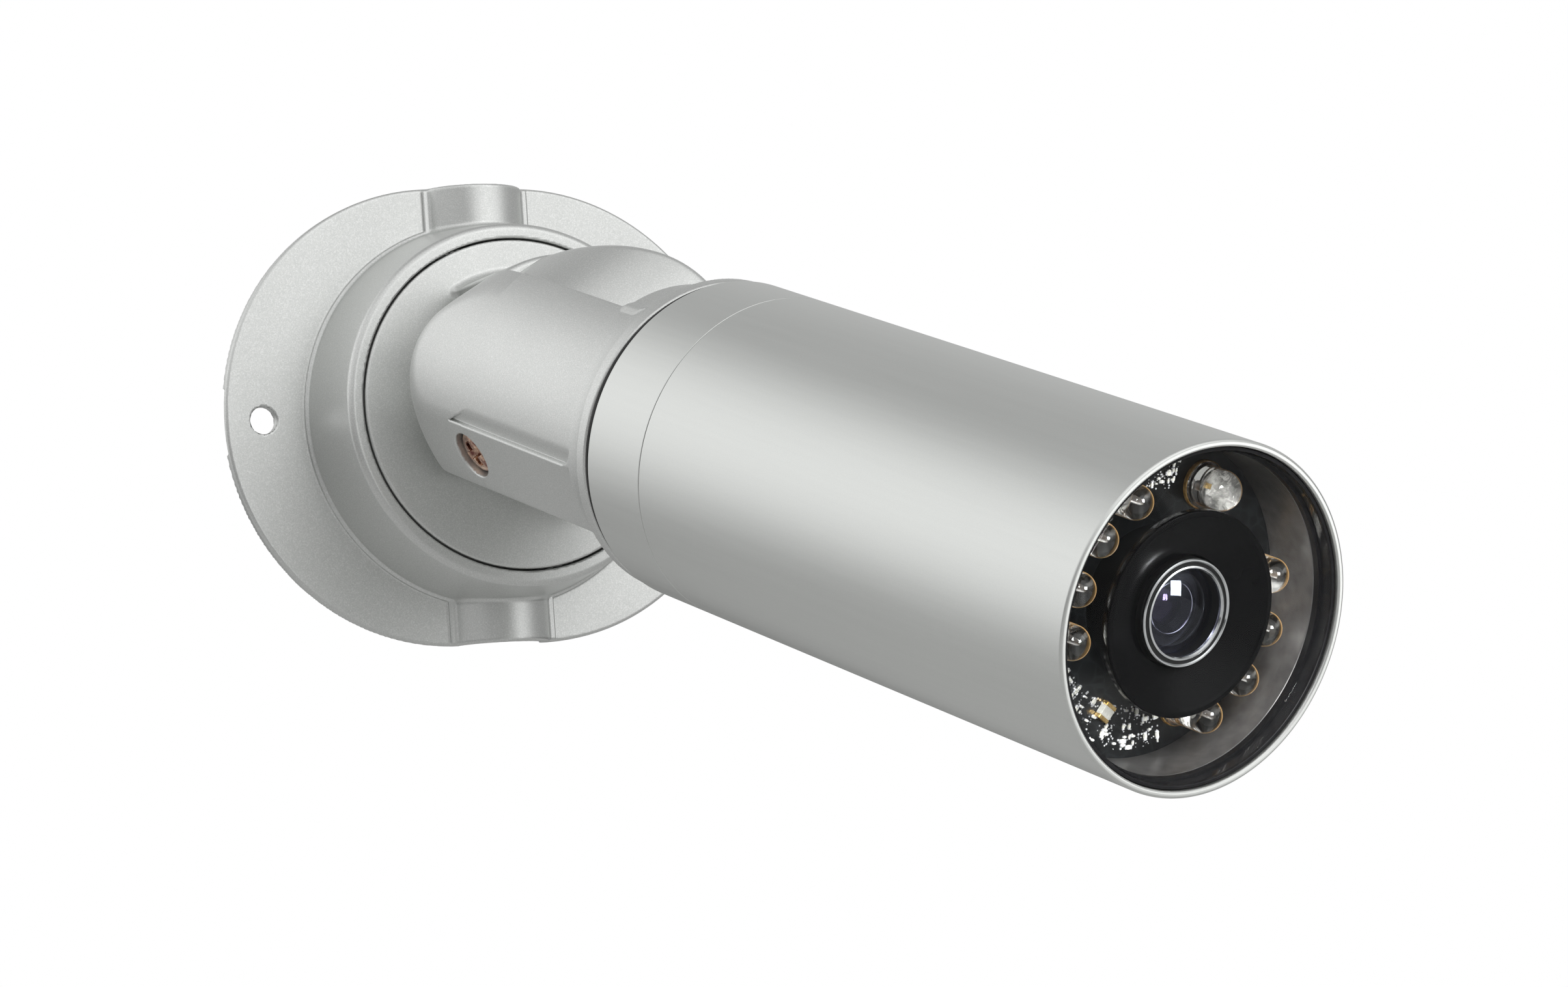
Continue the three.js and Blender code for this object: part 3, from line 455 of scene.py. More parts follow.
REAR_LENS = see_through("rear_lens_glass", (0.72, 0.70, 0.88), (0.80, 0.66, 1.0), 0.05)

# ------------------------------------------------------------------ mesh helpers


def finish_piece(name, mesh, body, material, replaced=()):
    """Puts a mesh in the scene and says what it rides on and stands for."""
    piece = bpy.data.objects.new(name, mesh)
    bpy.context.scene.collection.objects.link(piece)
    piece.data.materials.append(material)
    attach(piece, body)
    if replaced:
        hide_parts(*replaced)
    return piece


def arc(radius_centre, height_centre, size, start, end, steps=6):
    """Points of an arc in an outline, in degrees."""
    points = []
    for i in range(steps + 1):
        angle = math.radians(start + (end - start) * i / steps)
        points.append((radius_centre + size * math.cos(angle), height_centre + size * math.sin(angle)))
    return points


def turned_mesh(name, outline, local, segments=160, offset=(0.0, 0.0), crease=32.0):
    """Revolves a closed outline of (radius, height) about the local z axis."""
    bm = bmesh.new()
    rings = []
    for radius, height in outline:
        if radius < 1e-6:
            rings.append([bm.verts.new(local @ Vector((offset[0], offset[1], height)))])
            continue
        ring = []
        for i in range(segments):
            angle = 2 * math.pi * i / segments
            x = offset[0] + radius * math.cos(angle)
            y = offset[1] + radius * math.sin(angle)
            ring.append(bm.verts.new(local @ Vector((x, y, height))))
        rings.append(ring)
    for lower, upper in zip(rings, rings[1:] + rings[:1]):
        if len(lower) == 1 and len(upper) == 1:
            continue
        for i in range(segments):
            j = (i + 1) % segments
            if len(lower) == 1:
                bm.faces.new((lower[0], upper[j], upper[i]))
            elif len(upper) == 1:
                bm.faces.new((lower[i], lower[j], upper[0]))
            else:
                bm.faces.new((lower[i], lower[j], upper[j], upper[i]))
    bmesh.ops.recalc_face_normals(bm, faces=bm.faces)
    mesh = bpy.data.meshes.new(name)
    bm.to_mesh(mesh)
    bm.free()
    mesh.shade_smooth()
    mesh.set_sharp_from_angle(angle=math.radians(crease))
    return mesh


def turned(name, outline, local, body, slot, material, replaced=(), **options):
    mesh = turned_mesh(name, outline, local, **options)
    piece = finish_piece(name, mesh, body, material, replaced)
    weighted = piece.modifiers.new("flat_faces", "WEIGHTED_NORMAL")
    weighted.keep_sharp = True
    return piece


# ------------------------------------------------------------------ distance fields


def join(a, b, fillet):
    """Union of two distances with a round inner corner."""
    reach = np.hypot(np.maximum(fillet - a, 0), np.maximum(fillet - b, 0))
    return np.maximum(fillet, np.minimum(a, b)) - reach


def common(a, b, edge):
    """Intersection of two distances with a round outer edge."""
    return -join(-a, -b, edge)


def without(a, b, edge):
    """First shape less the second, with a round edge."""
    return common(a, -b, edge)


def between(value, low, high):
    """Distance to a slab."""
    return np.abs(value - (low + high) / 2) - (high - low) / 2


def hexagon(u, v, across_flats):
    angle = np.pi / 3
    sides = [u * np.cos(i * angle) + v * np.sin(i * angle) for i in range(6)]
    return np.maximum.reduce(sides) - across_flats / 2


def gradient(field, points):
    step = 0.02
    slopes = []
    for axis in range(3):
        shift = np.zeros(3)
        shift[axis] = step
        slopes.append((field(*(points + shift).T) - field(*(points - shift).T)) / (2 * step))
    return np.array(slopes).T


def sampled(field, low, shape, step):
    """The field on a grid, worked out exactly only near the surface."""
    block = 5
    coarse_shape = [math.ceil(n / block) for n in shape]
    centres = [low[k] + (np.arange(coarse_shape[k]) + 0.5) * block * step for k in range(3)]
    coarse = field(*[c.ravel() for c in np.meshgrid(*centres, indexing="ij")]).reshape(coarse_shape)
    grid = coarse
    for axis in range(3):
        grid = np.repeat(grid, block, axis)
    grid = grid[: shape[0], : shape[1], : shape[2]].copy()
    near = np.argwhere(np.abs(grid) < block * step * 1.6)
    grid[tuple(near.T)] = field(*(np.array(low) + near * step).T)
    return grid


def skinned_mesh(name, field, low, high, local, step, keep=0.4):
    """Meshes a field's surface, thins it, and puts its points and normals exactly on it."""
    low, high = np.array(low, float), np.array(high, float)
    shape = np.ceil((high - low) / step).astype(int) + 1
    volume = openvdb.FloatGrid()
    volume.copyFromArray(sampled(field, low, shape, step).astype(np.float32))
    points, quads = volume.convertToQuads(0.0)
    points = on_surface(field, low + np.array(points, float) * step)
    rough = bpy.data.meshes.new(name + "_rough")
    rough.from_pydata(points.tolist(), [], np.array(quads).tolist())
    holder = bpy.data.objects.new(name + "_rough", rough)
    bpy.context.scene.collection.objects.link(holder)
    thin = holder.modifiers.new("thin", "DECIMATE")
    thin.ratio = keep
    evaluated = holder.evaluated_get(bpy.context.evaluated_depsgraph_get())
    mesh = bpy.data.meshes.new_from_object(evaluated)
    mesh.name = name
    bpy.data.objects.remove(holder)
    bpy.data.meshes.remove(rough)
    settle(mesh, field, local)
    return mesh


def on_surface(field, points):
    for _ in range(3):
        slope = gradient(field, points)
        length = np.maximum((slope**2).sum(1), 0.04)
        points = points - slope * np.clip(field(*points.T) / length, -0.3, 0.3)[:, None]
    return points


def settle(mesh, field, local):
    """Moves a thinned mesh back onto the surface and takes its normals from the field."""
    flat = np.zeros(len(mesh.vertices) * 3)
    mesh.vertices.foreach_get("co", flat)
    points = on_surface(field, flat.reshape(-1, 3))
    normals = gradient(field, points)
    normals /= np.maximum(np.linalg.norm(normals, axis=1), 1e-9)[:, None]
    turn = np.array(local.to_3x3()) * 1000
    world = points / 1000 @ turn.T + np.array(local.translation)
    mesh.vertices.foreach_set("co", world.ravel())
    mesh.update()
    mesh.shade_smooth()
    mesh.normals_split_custom_set_from_vertices((normals @ turn.T).tolist())


def casting(name, field, low, high, local, step, body, material, replaced, keep=0.4):
    mesh = skinned_mesh(name, field, low, high, local, step, keep)
    return finish_piece(name, mesh, body, material, replaced)


# ------------------------------------------------------------------ wall bracket


def arch(x, z, half_width, height):
    """Distance to a half ellipse that stands on the wall."""
    level = np.hypot(x / half_width, z / height)
    slope = np.hypot(x / half_width**2, z / height**2)
    return level * (level - 1) / np.maximum(slope, 1e-6)


def plate_field(x, y, z):
    """The oblong plate with its collar, its cable ways and the cavity behind them."""
    radius = np.hypot(x, y)
    outline = np.hypot(np.maximum(np.abs(x) - PLATE_HALF_SPACING, 0), y) - PLATE_RADIUS
    plate = common(outline, z - PLATE_TOP, 0.55)
    lean = (COLLAR_FOOT - COLLAR_RIM) / (COLLAR_TOP - PLATE_TOP)
    side = (radius - COLLAR_FOOT + (z - PLATE_TOP) * lean) / math.hypot(1, lean)
    collar = common(side, z - COLLAR_TOP, 1.0)
    way = common(arch(x, z, WAY_HALF_WIDTH, WAY_HEIGHT), np.abs(y) - PLATE_RADIUS, 0.45)
    step = np.minimum(radius - COLLAR_FOOT - FOOT_STEP, np.abs(x) - WAY_HALF_WIDTH - FOOT_STEP)
    step = common(common(step, outline + 0.3, 0.2), z - PLATE_TOP - FOOT_STEP, 0.28)
    body = join(join(plate, step, 0.2), join(way, collar, 0.8), 0.35)
    body = np.maximum.reduce([body, PLATE_BACK - z, np.abs(y) - PLATE_RADIUS])

    body = without(body, np.maximum(radius - SEAT_RADIUS, SHELF_TOP - z), 0.3)
    body = without(body, radius - SHELF_BORE, 0.2)
    body = without(body, np.maximum(radius - CAVITY_RADIUS, z - CAVITY_TOP), 0.3)
    hollow = arch(x, z, WAY_HALF_WIDTH - WAY_WALL, WAY_HEIGHT - WAY_WALL)
    body = without(body, np.maximum(hollow, z - 9.5), 0.25)
    hole = np.hypot(np.abs(x) - SCREW_HOLE_X, y) - SCREW_HOLE
    body = without(body, hole, 0.2)
    edge = PLATE_RADIUS + PLATE_HALF_SPACING
    notch = np.maximum.reduce([np.abs(y) - NOTCH_HALF_HEIGHT, edge - NOTCH_DEPTH - np.abs(x), z - SKIRT_TOP])
    return without(body, notch, 0.15)


# ------------------------------------------------------------------ knuckle


def half_knuckle(x, y, z, ear, depth, rounding, neck):
    """One half ball about the clamp screw (x) on a neck that runs along z."""
    hub = np.hypot(y, z)
    dome = common(hub - ear, x - depth, rounding)
    shaft = np.maximum(np.abs(y) - neck - 1, -z)
    both = np.minimum(dome, shaft)
    clipped = common(both, np.hypot(x, y) - neck, 0.9)
    return common(clipped, EAR_FACE - x, 0.45)


def pocket(x, y, z):
    """The hollow round the clamp screw's boss."""
    hub = np.hypot(y, z)
    return np.maximum(np.maximum(BOSS_RADIUS - hub, hub - POCKET_RADIUS), x - POCKET_DEPTH)


def pan_screw_spots():
    spots = []
    for i in range(PAN_SCREW_COUNT):
        angle = 2 * math.pi * i / PAN_SCREW_COUNT
        spots.append((PAN_SCREW_CIRCLE * math.cos(angle), PAN_SCREW_CIRCLE * math.sin(angle)))
    return spots


def pan_field(x, y, z):
    """The disc in the collar, its hub and its ear of the knuckle."""
    radius = np.hypot(x, y)
    height = PIVOT_HEIGHT - z
    disc = common(radius - DISC_RADIUS, between(z, DISC_BOTTOM, COLLAR_TOP), 0.4)
    hub = np.maximum(radius - HUB_RADIUS, between(z, HUB_BOTTOM, DISC_BOTTOM + 0.95))
    ear = half_knuckle(-x, y, height, **PAN_EAR)
    ear = np.maximum(ear, height - (PIVOT_HEIGHT - COLLAR_TOP) - 0.8)
    body = np.minimum(join(disc, ear, 1.4), hub)
    body = without(body, pocket(-x, y, height), 0.3)
    cable = np.maximum(np.hypot(x + CABLE_BORE_X, y) - CABLE_BORE, z - PIVOT_HEIGHT + 10)
    body = without(body, cable, 0.3)
    pin = np.hypot(y, height)
    body = without(body, np.maximum(pin - PIN_HOLE, x), 0.2)
    nut = np.maximum(hexagon(y, height, NUT_WIDTH), x + 14.2)
    body = without(body, nut, 0.15)
    for spot_x, spot_y in pan_screw_spots():
        hole = np.hypot(x - spot_x, y - spot_y) - PAN_SCREW_HOLE
        body = np.maximum(body, -np.maximum(hole, z - DISC_BOTTOM + 0.5))
    return body


def flare_radius(z):
    """The flange's outline: the neck's radius, opening in a quarter ellipse."""
    share = np.clip((z - FLARE_START) / (FLARE_END - FLARE_START), 0, 1)
    return NECK + (FLANGE_RADIUS - NECK) * (1 - np.sqrt(1 - share**2 + 1e-6))


def arm_field(x, y, z):
    """The tilting ear, its neck with the pad and the ledge, and the flared flange."""
    radius = np.hypot(x, y)
    hub = np.hypot(y, z)
    half = half_knuckle(x, y, z, **TILT_EAR)
    half = np.maximum(half, z - FLARE_START - 1)
    flare = common(0.82 * (radius - flare_radius(z)), z - FLANGE_FACE, 0.4)
    flare = common(flare, FLARE_BACK - z, 0.5)
    body = join(half, flare, np.interp(x, [0.0, 2.0], [1.6, 0.05]))

    pad = np.maximum.reduce([PAD_LEVEL - x, LEDGE_EDGE - y, z - FLARE_START])
    slant = (LEDGE_BACK - LEDGE_SLANT * (y - LEDGE_EDGE) - z) / math.hypot(1, LEDGE_SLANT)
    corner = common(y - LEDGE_EDGE, z - LEDGE_FRONT, 3.0)
    ledge = np.maximum.reduce([LEDGE_LEVEL - x, corner, slant, LEDGE_LOW - y])
    under = np.maximum(UNDER_LEVEL - (x + y) / math.sqrt(2), z - FLARE_BACK - 1.5)
    body = without(body, pad, 0.25)
    body = without(body, ledge, 0.3)
    body = without(body, under, 0.35)

    body = without(body, pocket(x, y, z), 0.3)
    cable = np.maximum(np.hypot(x - CABLE_BORE_X, y) - CABLE_BORE, between(z, 10, 35.4))
    room = np.maximum(radius - 17.3, between(z, 30.9, 36.4))
    bore = np.maximum(radius - 12.3, 31.9 - z)
    body = np.maximum(body, -np.minimum(cable, np.minimum(room, bore)))
    body = without(body, np.maximum(hub - PIN_HOLE, -x), 0.2)
    return without(body, np.maximum(hub - COUNTERBORE, COUNTERBORE_FLOOR - x), 0.25)


# ------------------------------------------------------------------ screws


def screw_field(head, shank, base, edge, top, tip):
    """A cross-recessed screw about z, whose head lies between base and top."""

    def field(x, y, z):
        radius = np.hypot(x, y)
        dome = top - 0.18 * np.maximum(radius - head * 0.35, 0) ** 1.6
        cap = common(common(radius - head, z - dome, 0.35), base - z, 0.15)
        rod = np.maximum(common(radius - shank, tip - z, 0.4), z - base - 0.2)
        body = np.minimum(cap, rod)
        depth = top - z
        reach = 0.64 * head - 0.55 * depth
        width = 0.19 * head - 0.1 * depth
        arms = np.minimum(np.maximum(np.abs(x) - width, np.abs(y) - reach),
                          np.maximum(np.abs(y) - width, np.abs(x) - reach))
        recess = np.maximum(arms, edge - z)
        return without(body, recess, 0.12)

    return field


def screw(name, place, size, body, material, replaced, step):
    head, shank, base, edge, top, tip = size
    field = screw_field(head, shank, base, edge, top, tip)
    low = (-head - 0.5, -head - 0.5, tip - 0.5)
    high = (head + 0.5, head + 0.5, top + 0.5)
    return casting(name, field, low, high, place, step, body, material, replaced, keep=0.5)


def make_castings():
    """The three silver castings, each skinned in its CAD node's box with a margin round it."""
    rim = 1.2
    casting("wall_plate_cast", plate_field, plate_low - rim, plate_high + rim,
            WALL, 0.34, "wall_bracket", CAST, ["wall_plate"], keep=0.35)
    casting("pan_knuckle_cast", pan_field, disc_low - rim, disc_high + rim,
            PAN, 0.34, "pan_base", CAST, ["pan_knuckle"], keep=0.4)
    casting("tilt_knuckle_cast", arm_field, arm_low - rim, arm_high + rim,
            ARM, 0.32, "tilt_arm", CAST, ["tilt_knuckle"], keep=0.4)


def make_screws():
    clamp = ARM @ Matrix.Rotation(math.pi / 2, 4, "Y") @ Matrix.Rotation(math.radians(25), 4, "Z")
    screw("tilt_screw_head", clamp, (CLAMP_HEAD, 1.95, 18.9, 19.2, 20.8, -19.0), "clamp_screw",
          YELLOW_ZINC, ["tilt_screw"], 0.16)
    for i, spot in enumerate(pan_screw_spots()):
        place = PAN @ Matrix.Translation((*spot, 0)) @ Matrix.Rotation(math.pi, 4, "X")
        screw(f"pan_screw_{i + 1}_cast", place, (2.75, 1.45, -8.6, -7.7, -6.8, -13.4), "pan_base",
              STEEL, [f"pan_screw_{i + 1}"], 0.16)


# ------------------------------------------------------------------ housing


def make_housing():
    """The rear cap, the tube with its rolled lip, the window and its seals, and the sleeve."""
    radius = TUBE_RADIUS
    cap_front = SEAM - SEAM_HALF_GAP
    tube_back = SEAM + SEAM_HALF_GAP
    cap = [(8.5, cap_low[2]), (11.9, cap_low[2]), (11.9, CAP_BACK),
           *arc(radius - CAP_EDGE, CAP_BACK + CAP_EDGE, CAP_EDGE, -90, 0),
           *arc(radius - SEAM_EDGE, cap_front - SEAM_EDGE, SEAM_EDGE, 0, 90, 3),
           (SPIGOT_RADIUS, cap_front), (SPIGOT_RADIUS, SPIGOT_END), (20.4, SPIGOT_END),
           (20.4, 45.5), (8.5, 45.5)]
    turned("rear_cap_turned", cap, ARM, "camera_body", "silver_paint", TUBE, ["rear_cap"], segments=224)

    tube = [(TUBE_BORE, tube_back), *arc(radius - SEAM_EDGE, tube_back + SEAM_EDGE, SEAM_EDGE, -90, 0, 3),
            *arc(radius - LIP, FRONT - LIP, LIP, 0, 90, 6), (WINDOW_SEAT + 0.35, FRONT),
            *arc(WINDOW_SEAT + 0.3, FRONT - 0.3, 0.3, 90, 180, 4),
            (WINDOW_SEAT, WINDOW_SEAT_BACK), (TUBE_BORE, WINDOW_SEAT_BACK)]
    turned("housing_tube_turned", tube, ARM, "camera_body", "silver_paint", TUBE, ["housing_tube"],
           segments=224)

    front, back = glass_high[2], glass_low[2]
    rim = glass_high[0]
    bore = sleeve_high[0] - SLEEVE_WALL
    gasket = [(bore, 151.0), (23.85, 151.0), *arc(23.65, front - 0.1, 0.2, 0, 90, 4),
              *arc(rim + 0.3, front - 0.05, 0.15, 90, 180, 4), (rim + 0.15, back - 0.1), (bore, back - 0.1)]
    turned("window_gasket_moulded", gasket, ARM, "camera_body", "black_rubber", SATIN_BLACK,
           ["window_gasket"], segments=224)
    glass = [(0, back), (rim - 0.1, back), (rim, back + 0.1), (rim, front - 0.15),
             (rim - 0.15, front), (0, front)]
    turned("window_glass_ground", glass, ARM, "camera_body", "clear_window", WINDOW, ["window_glass"],
           segments=224)
    sleeve = [(bore, sleeve_low[2]), (SLEEVE_RADIUS, sleeve_low[2]), (SLEEVE_RADIUS, sleeve_high[2]),
              *arc(bore + 0.2, sleeve_high[2] - 0.2, 0.2, 90, 180, 3)]
    turned("window_sleeve", sleeve, ARM, "camera_body", "dark_sleeve", SLEEVE, ["window_spacer"],
           segments=224)

    groove_low, groove_high = extent("roll_seal", ARM)
    seal = [(18.0, groove_low[2]), *arc(groove_high[0] - 0.3, groove_low[2] + 0.3, 0.3, -90, 0, 3),
            *arc(groove_high[0] - 0.3, groove_high[2] - 0.3, 0.3, 0, 90, 3), (18.0, groove_high[2])]
    turned("roll_seal_moulded", seal, ARM, "camera_body", "black_rubber", RUBBER, ["roll_seal"],
           segments=200)


# ------------------------------------------------------------------ lamps


def dome(radius, base, height, flange):
    """Outline of a round-nosed lamp."""
    top = base + height
    return [(0, base), (flange - 0.1, base), (flange, base + 0.1),
            *arc(flange - 0.15, base + 0.85, 0.15, 0, 90, 3),
            *arc(radius + 0.12, base + 1.12, 0.12, 270, 180, 3),
            *arc(0, top - radius, radius, 0, 84, 16), (0, top)]


def place_on_circle(angle, circle):
    return (circle * math.cos(math.radians(angle)), circle * math.sin(math.radians(angle)))


def make_lamp(name, angle, radius, height, replaced):
    """A clear dome over a bright reflector cup, a gold wire and two leads."""
    base = board_high[2] + 0.1
    spot = place_on_circle(angle, LED_CIRCLE)
    turned(name, dome(radius, base, height, radius + 0.4), ARM, "camera_body", "clear_resin", EPOXY,
           [replaced], segments=64, offset=spot, crease=40)
    cup_z = base + 0.42 * height
    wide = 0.8 * radius
    cup = [(0, cup_z - 0.7), (0.35 * wide, cup_z - 0.7), (0.9 * wide, cup_z), (wide, cup_z),
           (wide, cup_z - 0.4), (0.5 * wide, cup_z - 1.2), (0, cup_z - 1.2)]
    turned(name + "_cup", cup, ARM, "camera_body", "bright_aluminium", REFLECTOR, segments=40, offset=spot)
    die = [(0, cup_z - 0.7), (0.3, cup_z - 0.7), (0.3, cup_z - 0.35), (0, cup_z - 0.35)]
    turned(name + "_die", die, ARM, "camera_body", "bright_aluminium", GOLD, segments=4, offset=spot)
    lead = [(0, base + 0.3), (0.4, base + 0.3), (0.4, cup_z - 1.2), (0, cup_z - 1.2)]
    turned(name + "_lead", lead, ARM, "camera_body", "bright_aluminium", SOLDER, segments=20,
           offset=(spot[0] + 0.3, spot[1]))
    post = [(0, base + 0.3), (0.28, base + 0.3), (0.32, cup_z - 0.2), (0.15, cup_z + 0.15), (0, cup_z + 0.15)]
    turned(name + "_post", post, ARM, "camera_body", "bright_aluminium", GOLD, segments=20,
           offset=(spot[0] - 0.84 * radius, spot[1]))
    foot = [(radius + 0.45, base), (radius + 0.6, base), (radius + 0.55, base + 0.5),
            (radius + 0.45, base + 0.6)]
    turned(name + "_foot", foot, ARM, "camera_body", "clear_resin", AMBER, segments=48, offset=spot)


def make_lamps():
    for i, angle in enumerate(LAMP_ANGLES):
        make_lamp(f"lamp_{i + 1}", angle, LAMP_RADIUS, LAMP_HEIGHT, f"infrared_led_{i + 1}")
    make_lamp("light_sensor_dome", LIGHT_SENSOR_ANGLE, LIGHT_SENSOR_RADIUS, LIGHT_SENSOR_HEIGHT,
              "light_sensor")


# ------------------------------------------------------------------ light board


def soft_block(bm, centre, size, turn, edge=0.08):
    """Adds a small block with bevelled edges, in the ARM frame."""
    made = bmesh.ops.create_cube(bm, size=1.0)["verts"]
    matrix = (ARM @ Matrix.Translation(centre) @ Matrix.Rotation(turn, 4, "Z")
              @ Matrix.Diagonal((*size, 1.0)))
    bmesh.ops.transform(bm, matrix=matrix, verts=made)
    edges = {e for v in made for e in v.link_edges}
    bmesh.ops.bevel(bm, geom=list(edges), offset=edge * 0.001, segments=2, affect="EDGES")


def block_piece(name, blocks, body, material):
    bm = bmesh.new()
    for centre, size, turn in blocks:
        soft_block(bm, centre, size, turn)
    mesh = bpy.data.meshes.new(name)
    bm.to_mesh(mesh)
    bm.free()
    mesh.shade_smooth()
    mesh.set_sharp_from_angle(angle=math.radians(40))
    return finish_piece(name, mesh, body, material)


def chip_part(spot, angle, length, width, height, base):
    """A surface-mount part: its body and its two bright ends, as blocks."""
    x, y = spot
    body = (Vector((x, y, base + height / 2)), (length * 0.56, width, height), angle)
    ends = []
    for side in (-1, 1):
        shift = side * length * 0.39
        centre = Vector((x + shift * math.cos(angle), y + shift * math.sin(angle), base + height / 2))
        ends.append((centre, (length * 0.22, width * 1.02, height * 1.04), angle))
    return body, ends


def make_light_board():
    """The lamp board with two clusters of small parts, their contacts and scattered pads."""
    low, high = board_low[2], board_high[2]
    board = [(8.8, low), (22.9, low), (22.9, high - 0.1), (22.8, high), (8.9, high), (8.8, high - 0.1)]
    turned("light_board_printed", board, ARM, "camera_body", "black_board", BOARD, ["light_board"],
           segments=160)
    bodies, ends, pads = [], [], []
    for centre_angle, half_spread, count in ((-116, 15, 46), (38, 37, 80)):
        for _ in range(count):
            angle = centre_angle + rng.uniform(-half_spread, half_spread)
            spot = place_on_circle(angle, rng.uniform(15.4, 21.4))
            turn = math.radians(angle + rng.choice((0, 90)))
            length = rng.choice((0.5, 0.7, 0.9, 1.2))
            body, both = chip_part(spot, turn, length, length * 0.5, 0.35, high + 0.02)
            bodies.append(body)
            ends.extend(both)
    for _ in range(420):
        angle = rng.choice((rng.uniform(-132, -102), rng.uniform(2, 76), rng.uniform(2, 76)))
        spot = place_on_circle(angle, rng.uniform(15.2, 21.6))
        size = rng.uniform(0.15, 0.36)
        pads.append((Vector((*spot, high + 0.05)), (size, size * rng.uniform(0.5, 1.0), 0.08),
                     math.radians(rng.choice((0, 45, 90)) + angle)))
    block_piece("board_parts", bodies, "camera_body", CERAMIC)
    block_piece("board_part_ends", ends, "camera_body", SOLDER)
    block_piece("board_pads", pads, "camera_body", SOLDER)
    spot = place_on_circle(42, 16.5)
    body, both = chip_part(spot, math.radians(25), 2.6, 2.0, 1.1, high + 0.02)
    block_piece("board_cream_part", [body], "camera_body", CERAMIC)
    block_piece("board_cream_ends", both, "camera_body", GOLD)


# ------------------------------------------------------------------ lens


def make_lens():
    """The shroud, the barrel, its bright rings and the glasses inside it."""
    base, front = shroud_low[2], shroud_high[2]
    inner = 8.0
    shroud = [(inner, base), (10.2, base), (14.5, front - 1.4), *arc(14.2, front - 0.3, 0.3, 0, 90, 4),
              (13.7, front), (13.3, front - 0.35), (9.0, front - 1.9), (8.6, front - 2.1),
              (inner, front - 2.2)]
    turned("lens_shroud_moulded", shroud, ARM, "camera_body", "black_gloss", GLOSS_BLACK, ["lens_shroud"],
           segments=160)

    top = barrel_high[2]
    tip = extent("lens_front_ring", ARM)[1][2]
    barrel = [(4.3, barrel_low[2]), (6.0, barrel_low[2]), (6.0, tip - 4.4), (7.6, tip - 4.4), (7.6, top),
              (6.3, top), (6.3, top - 2.3), (5.4, top - 2.3), (5.4, top - 3.2), (4.3, top - 3.2)]
    turned("lens_barrel_turned", barrel, ARM, "camera_body", "black_gloss", MATT_BLACK, ["lens_barrel"],
           segments=120)
    ring = [(7.15, tip - 0.6), (7.6, tip - 0.6), (7.6, tip - 0.12), (7.48, tip), (7.3, tip),
            (7.15, tip - 0.15)]
    turned("lens_front_ring_turned", ring, ARM, "camera_body", "bright_aluminium", BRIGHT,
           ["lens_front_ring"], segments=120)
    gap = [(6.6, tip - 0.6), (7.15, tip - 0.6), (7.15, tip - 0.32), (6.6, tip - 0.32)]
    turned("lens_ring_groove", gap, ARM, "camera_body", "black_gloss", MATT_BLACK, segments=120)
    second = [(6.15, tip - 0.6), (6.6, tip - 0.6), (6.6, tip - 0.05), (6.5, tip), (6.32, tip),
              (6.15, tip - 0.2)]
    turned("lens_second_ring", second, ARM, "camera_body", "bright_aluminium", BRIGHT, segments=120)

    turned("lens_front_glass", element(6.1, tip - 2.9, 0.9, 1.5), ARM, "camera_body", "coated_glass",
           FRONT_LENS, ["lens_front_element"], segments=96, crease=50)
    baffle = [(2.6, tip - 4.4), (4.25, tip - 4.4), (4.25, tip - 3.4), (3.7, tip - 3.3)]
    turned("lens_baffle", baffle, ARM, "camera_body", "black_gloss", GLOSS_BLACK, segments=96)
    edge = [(3.55, tip - 3.4), (3.72, tip - 3.4), (3.72, tip - 3.22), (3.63, tip - 3.16), (3.55, tip - 3.22)]
    turned("lens_inner_ring", edge, ARM, "camera_body", "bright_aluminium", BRIGHT, segments=96)
    turned("lens_middle_glass", element(3.4, tip - 5.6, 0.4, 1.3), ARM, "camera_body", "coated_glass",
           REAR_LENS, segments=96, crease=50)
    turned("lens_inner_glass", element(2.4, tip - 8.2, 0.4, 0.9), ARM, "camera_body", "coated_glass",
           FRONT_LENS, segments=96, crease=50)
    rear_low = extent("lens_rear_element", ARM)[0][2]
    turned("lens_rear_glass", element(4.1, rear_low, 1.2, 0.8), ARM, "camera_body", "coated_glass",
           REAR_LENS, ["lens_rear_element"], segments=64, crease=50)


def element(radius, back, edge_height, bulge, steps=12):
    """Outline of a lens with one bulging face."""
    sphere = (radius**2 + bulge**2) / (2 * bulge)
    top = back + edge_height + bulge
    reach = math.asin(radius / sphere)
    points = [(0, back), (radius, back)]
    for i in range(steps):
        angle = reach * (1 - i / steps)
        points.append((sphere * math.sin(angle), top - sphere * (1 - math.cos(angle))))
    points.append((0, top))
    return points


# ------------------------------------------------------------------ carried-over CAD nodes


def dress_cad_nodes():
    """Gives the CAD nodes that stay visible their finishes."""
    finishes = {
        "wall_gasket": FOAM, "pan_seal": RUBBER, "tilt_friction_disc": RUBBER, "cable_grommet": RUBBER,
        "rear_o_ring": RUBBER, "pan_friction_washer": STEEL, "pan_retainer": STEEL, "tilt_nut": STEEL,
        "tilt_washer": STEEL, "roll_friction_washer": STEEL, "roll_nut": STEEL, "lens_holder": MATT_BLACK,
        "module_carrier": MATT_BLACK, "image_sensor": CHIP, "sensor_board": GREEN_BOARD,
        "main_board": GREEN_BOARD,
    }
    for i in range(1, 5):
        finishes[f"board_standoff_{i}"] = BRIGHT
        finishes[f"board_screw_{i}"] = STEEL
    for name, material in finishes.items():
        nodes[name].data.materials.clear()
        nodes[name].data.materials.append(material)


# ------------------------------------------------------------------ studio


def towards(azimuth, elevation):
    """Unit vector; azimuth 0 is in front of the wall, 90 to the right."""
    turn, rise = math.radians(azimuth), math.radians(elevation)
    return Vector((math.sin(turn) * math.cos(rise), -math.cos(turn) * math.cos(rise), math.sin(rise)))


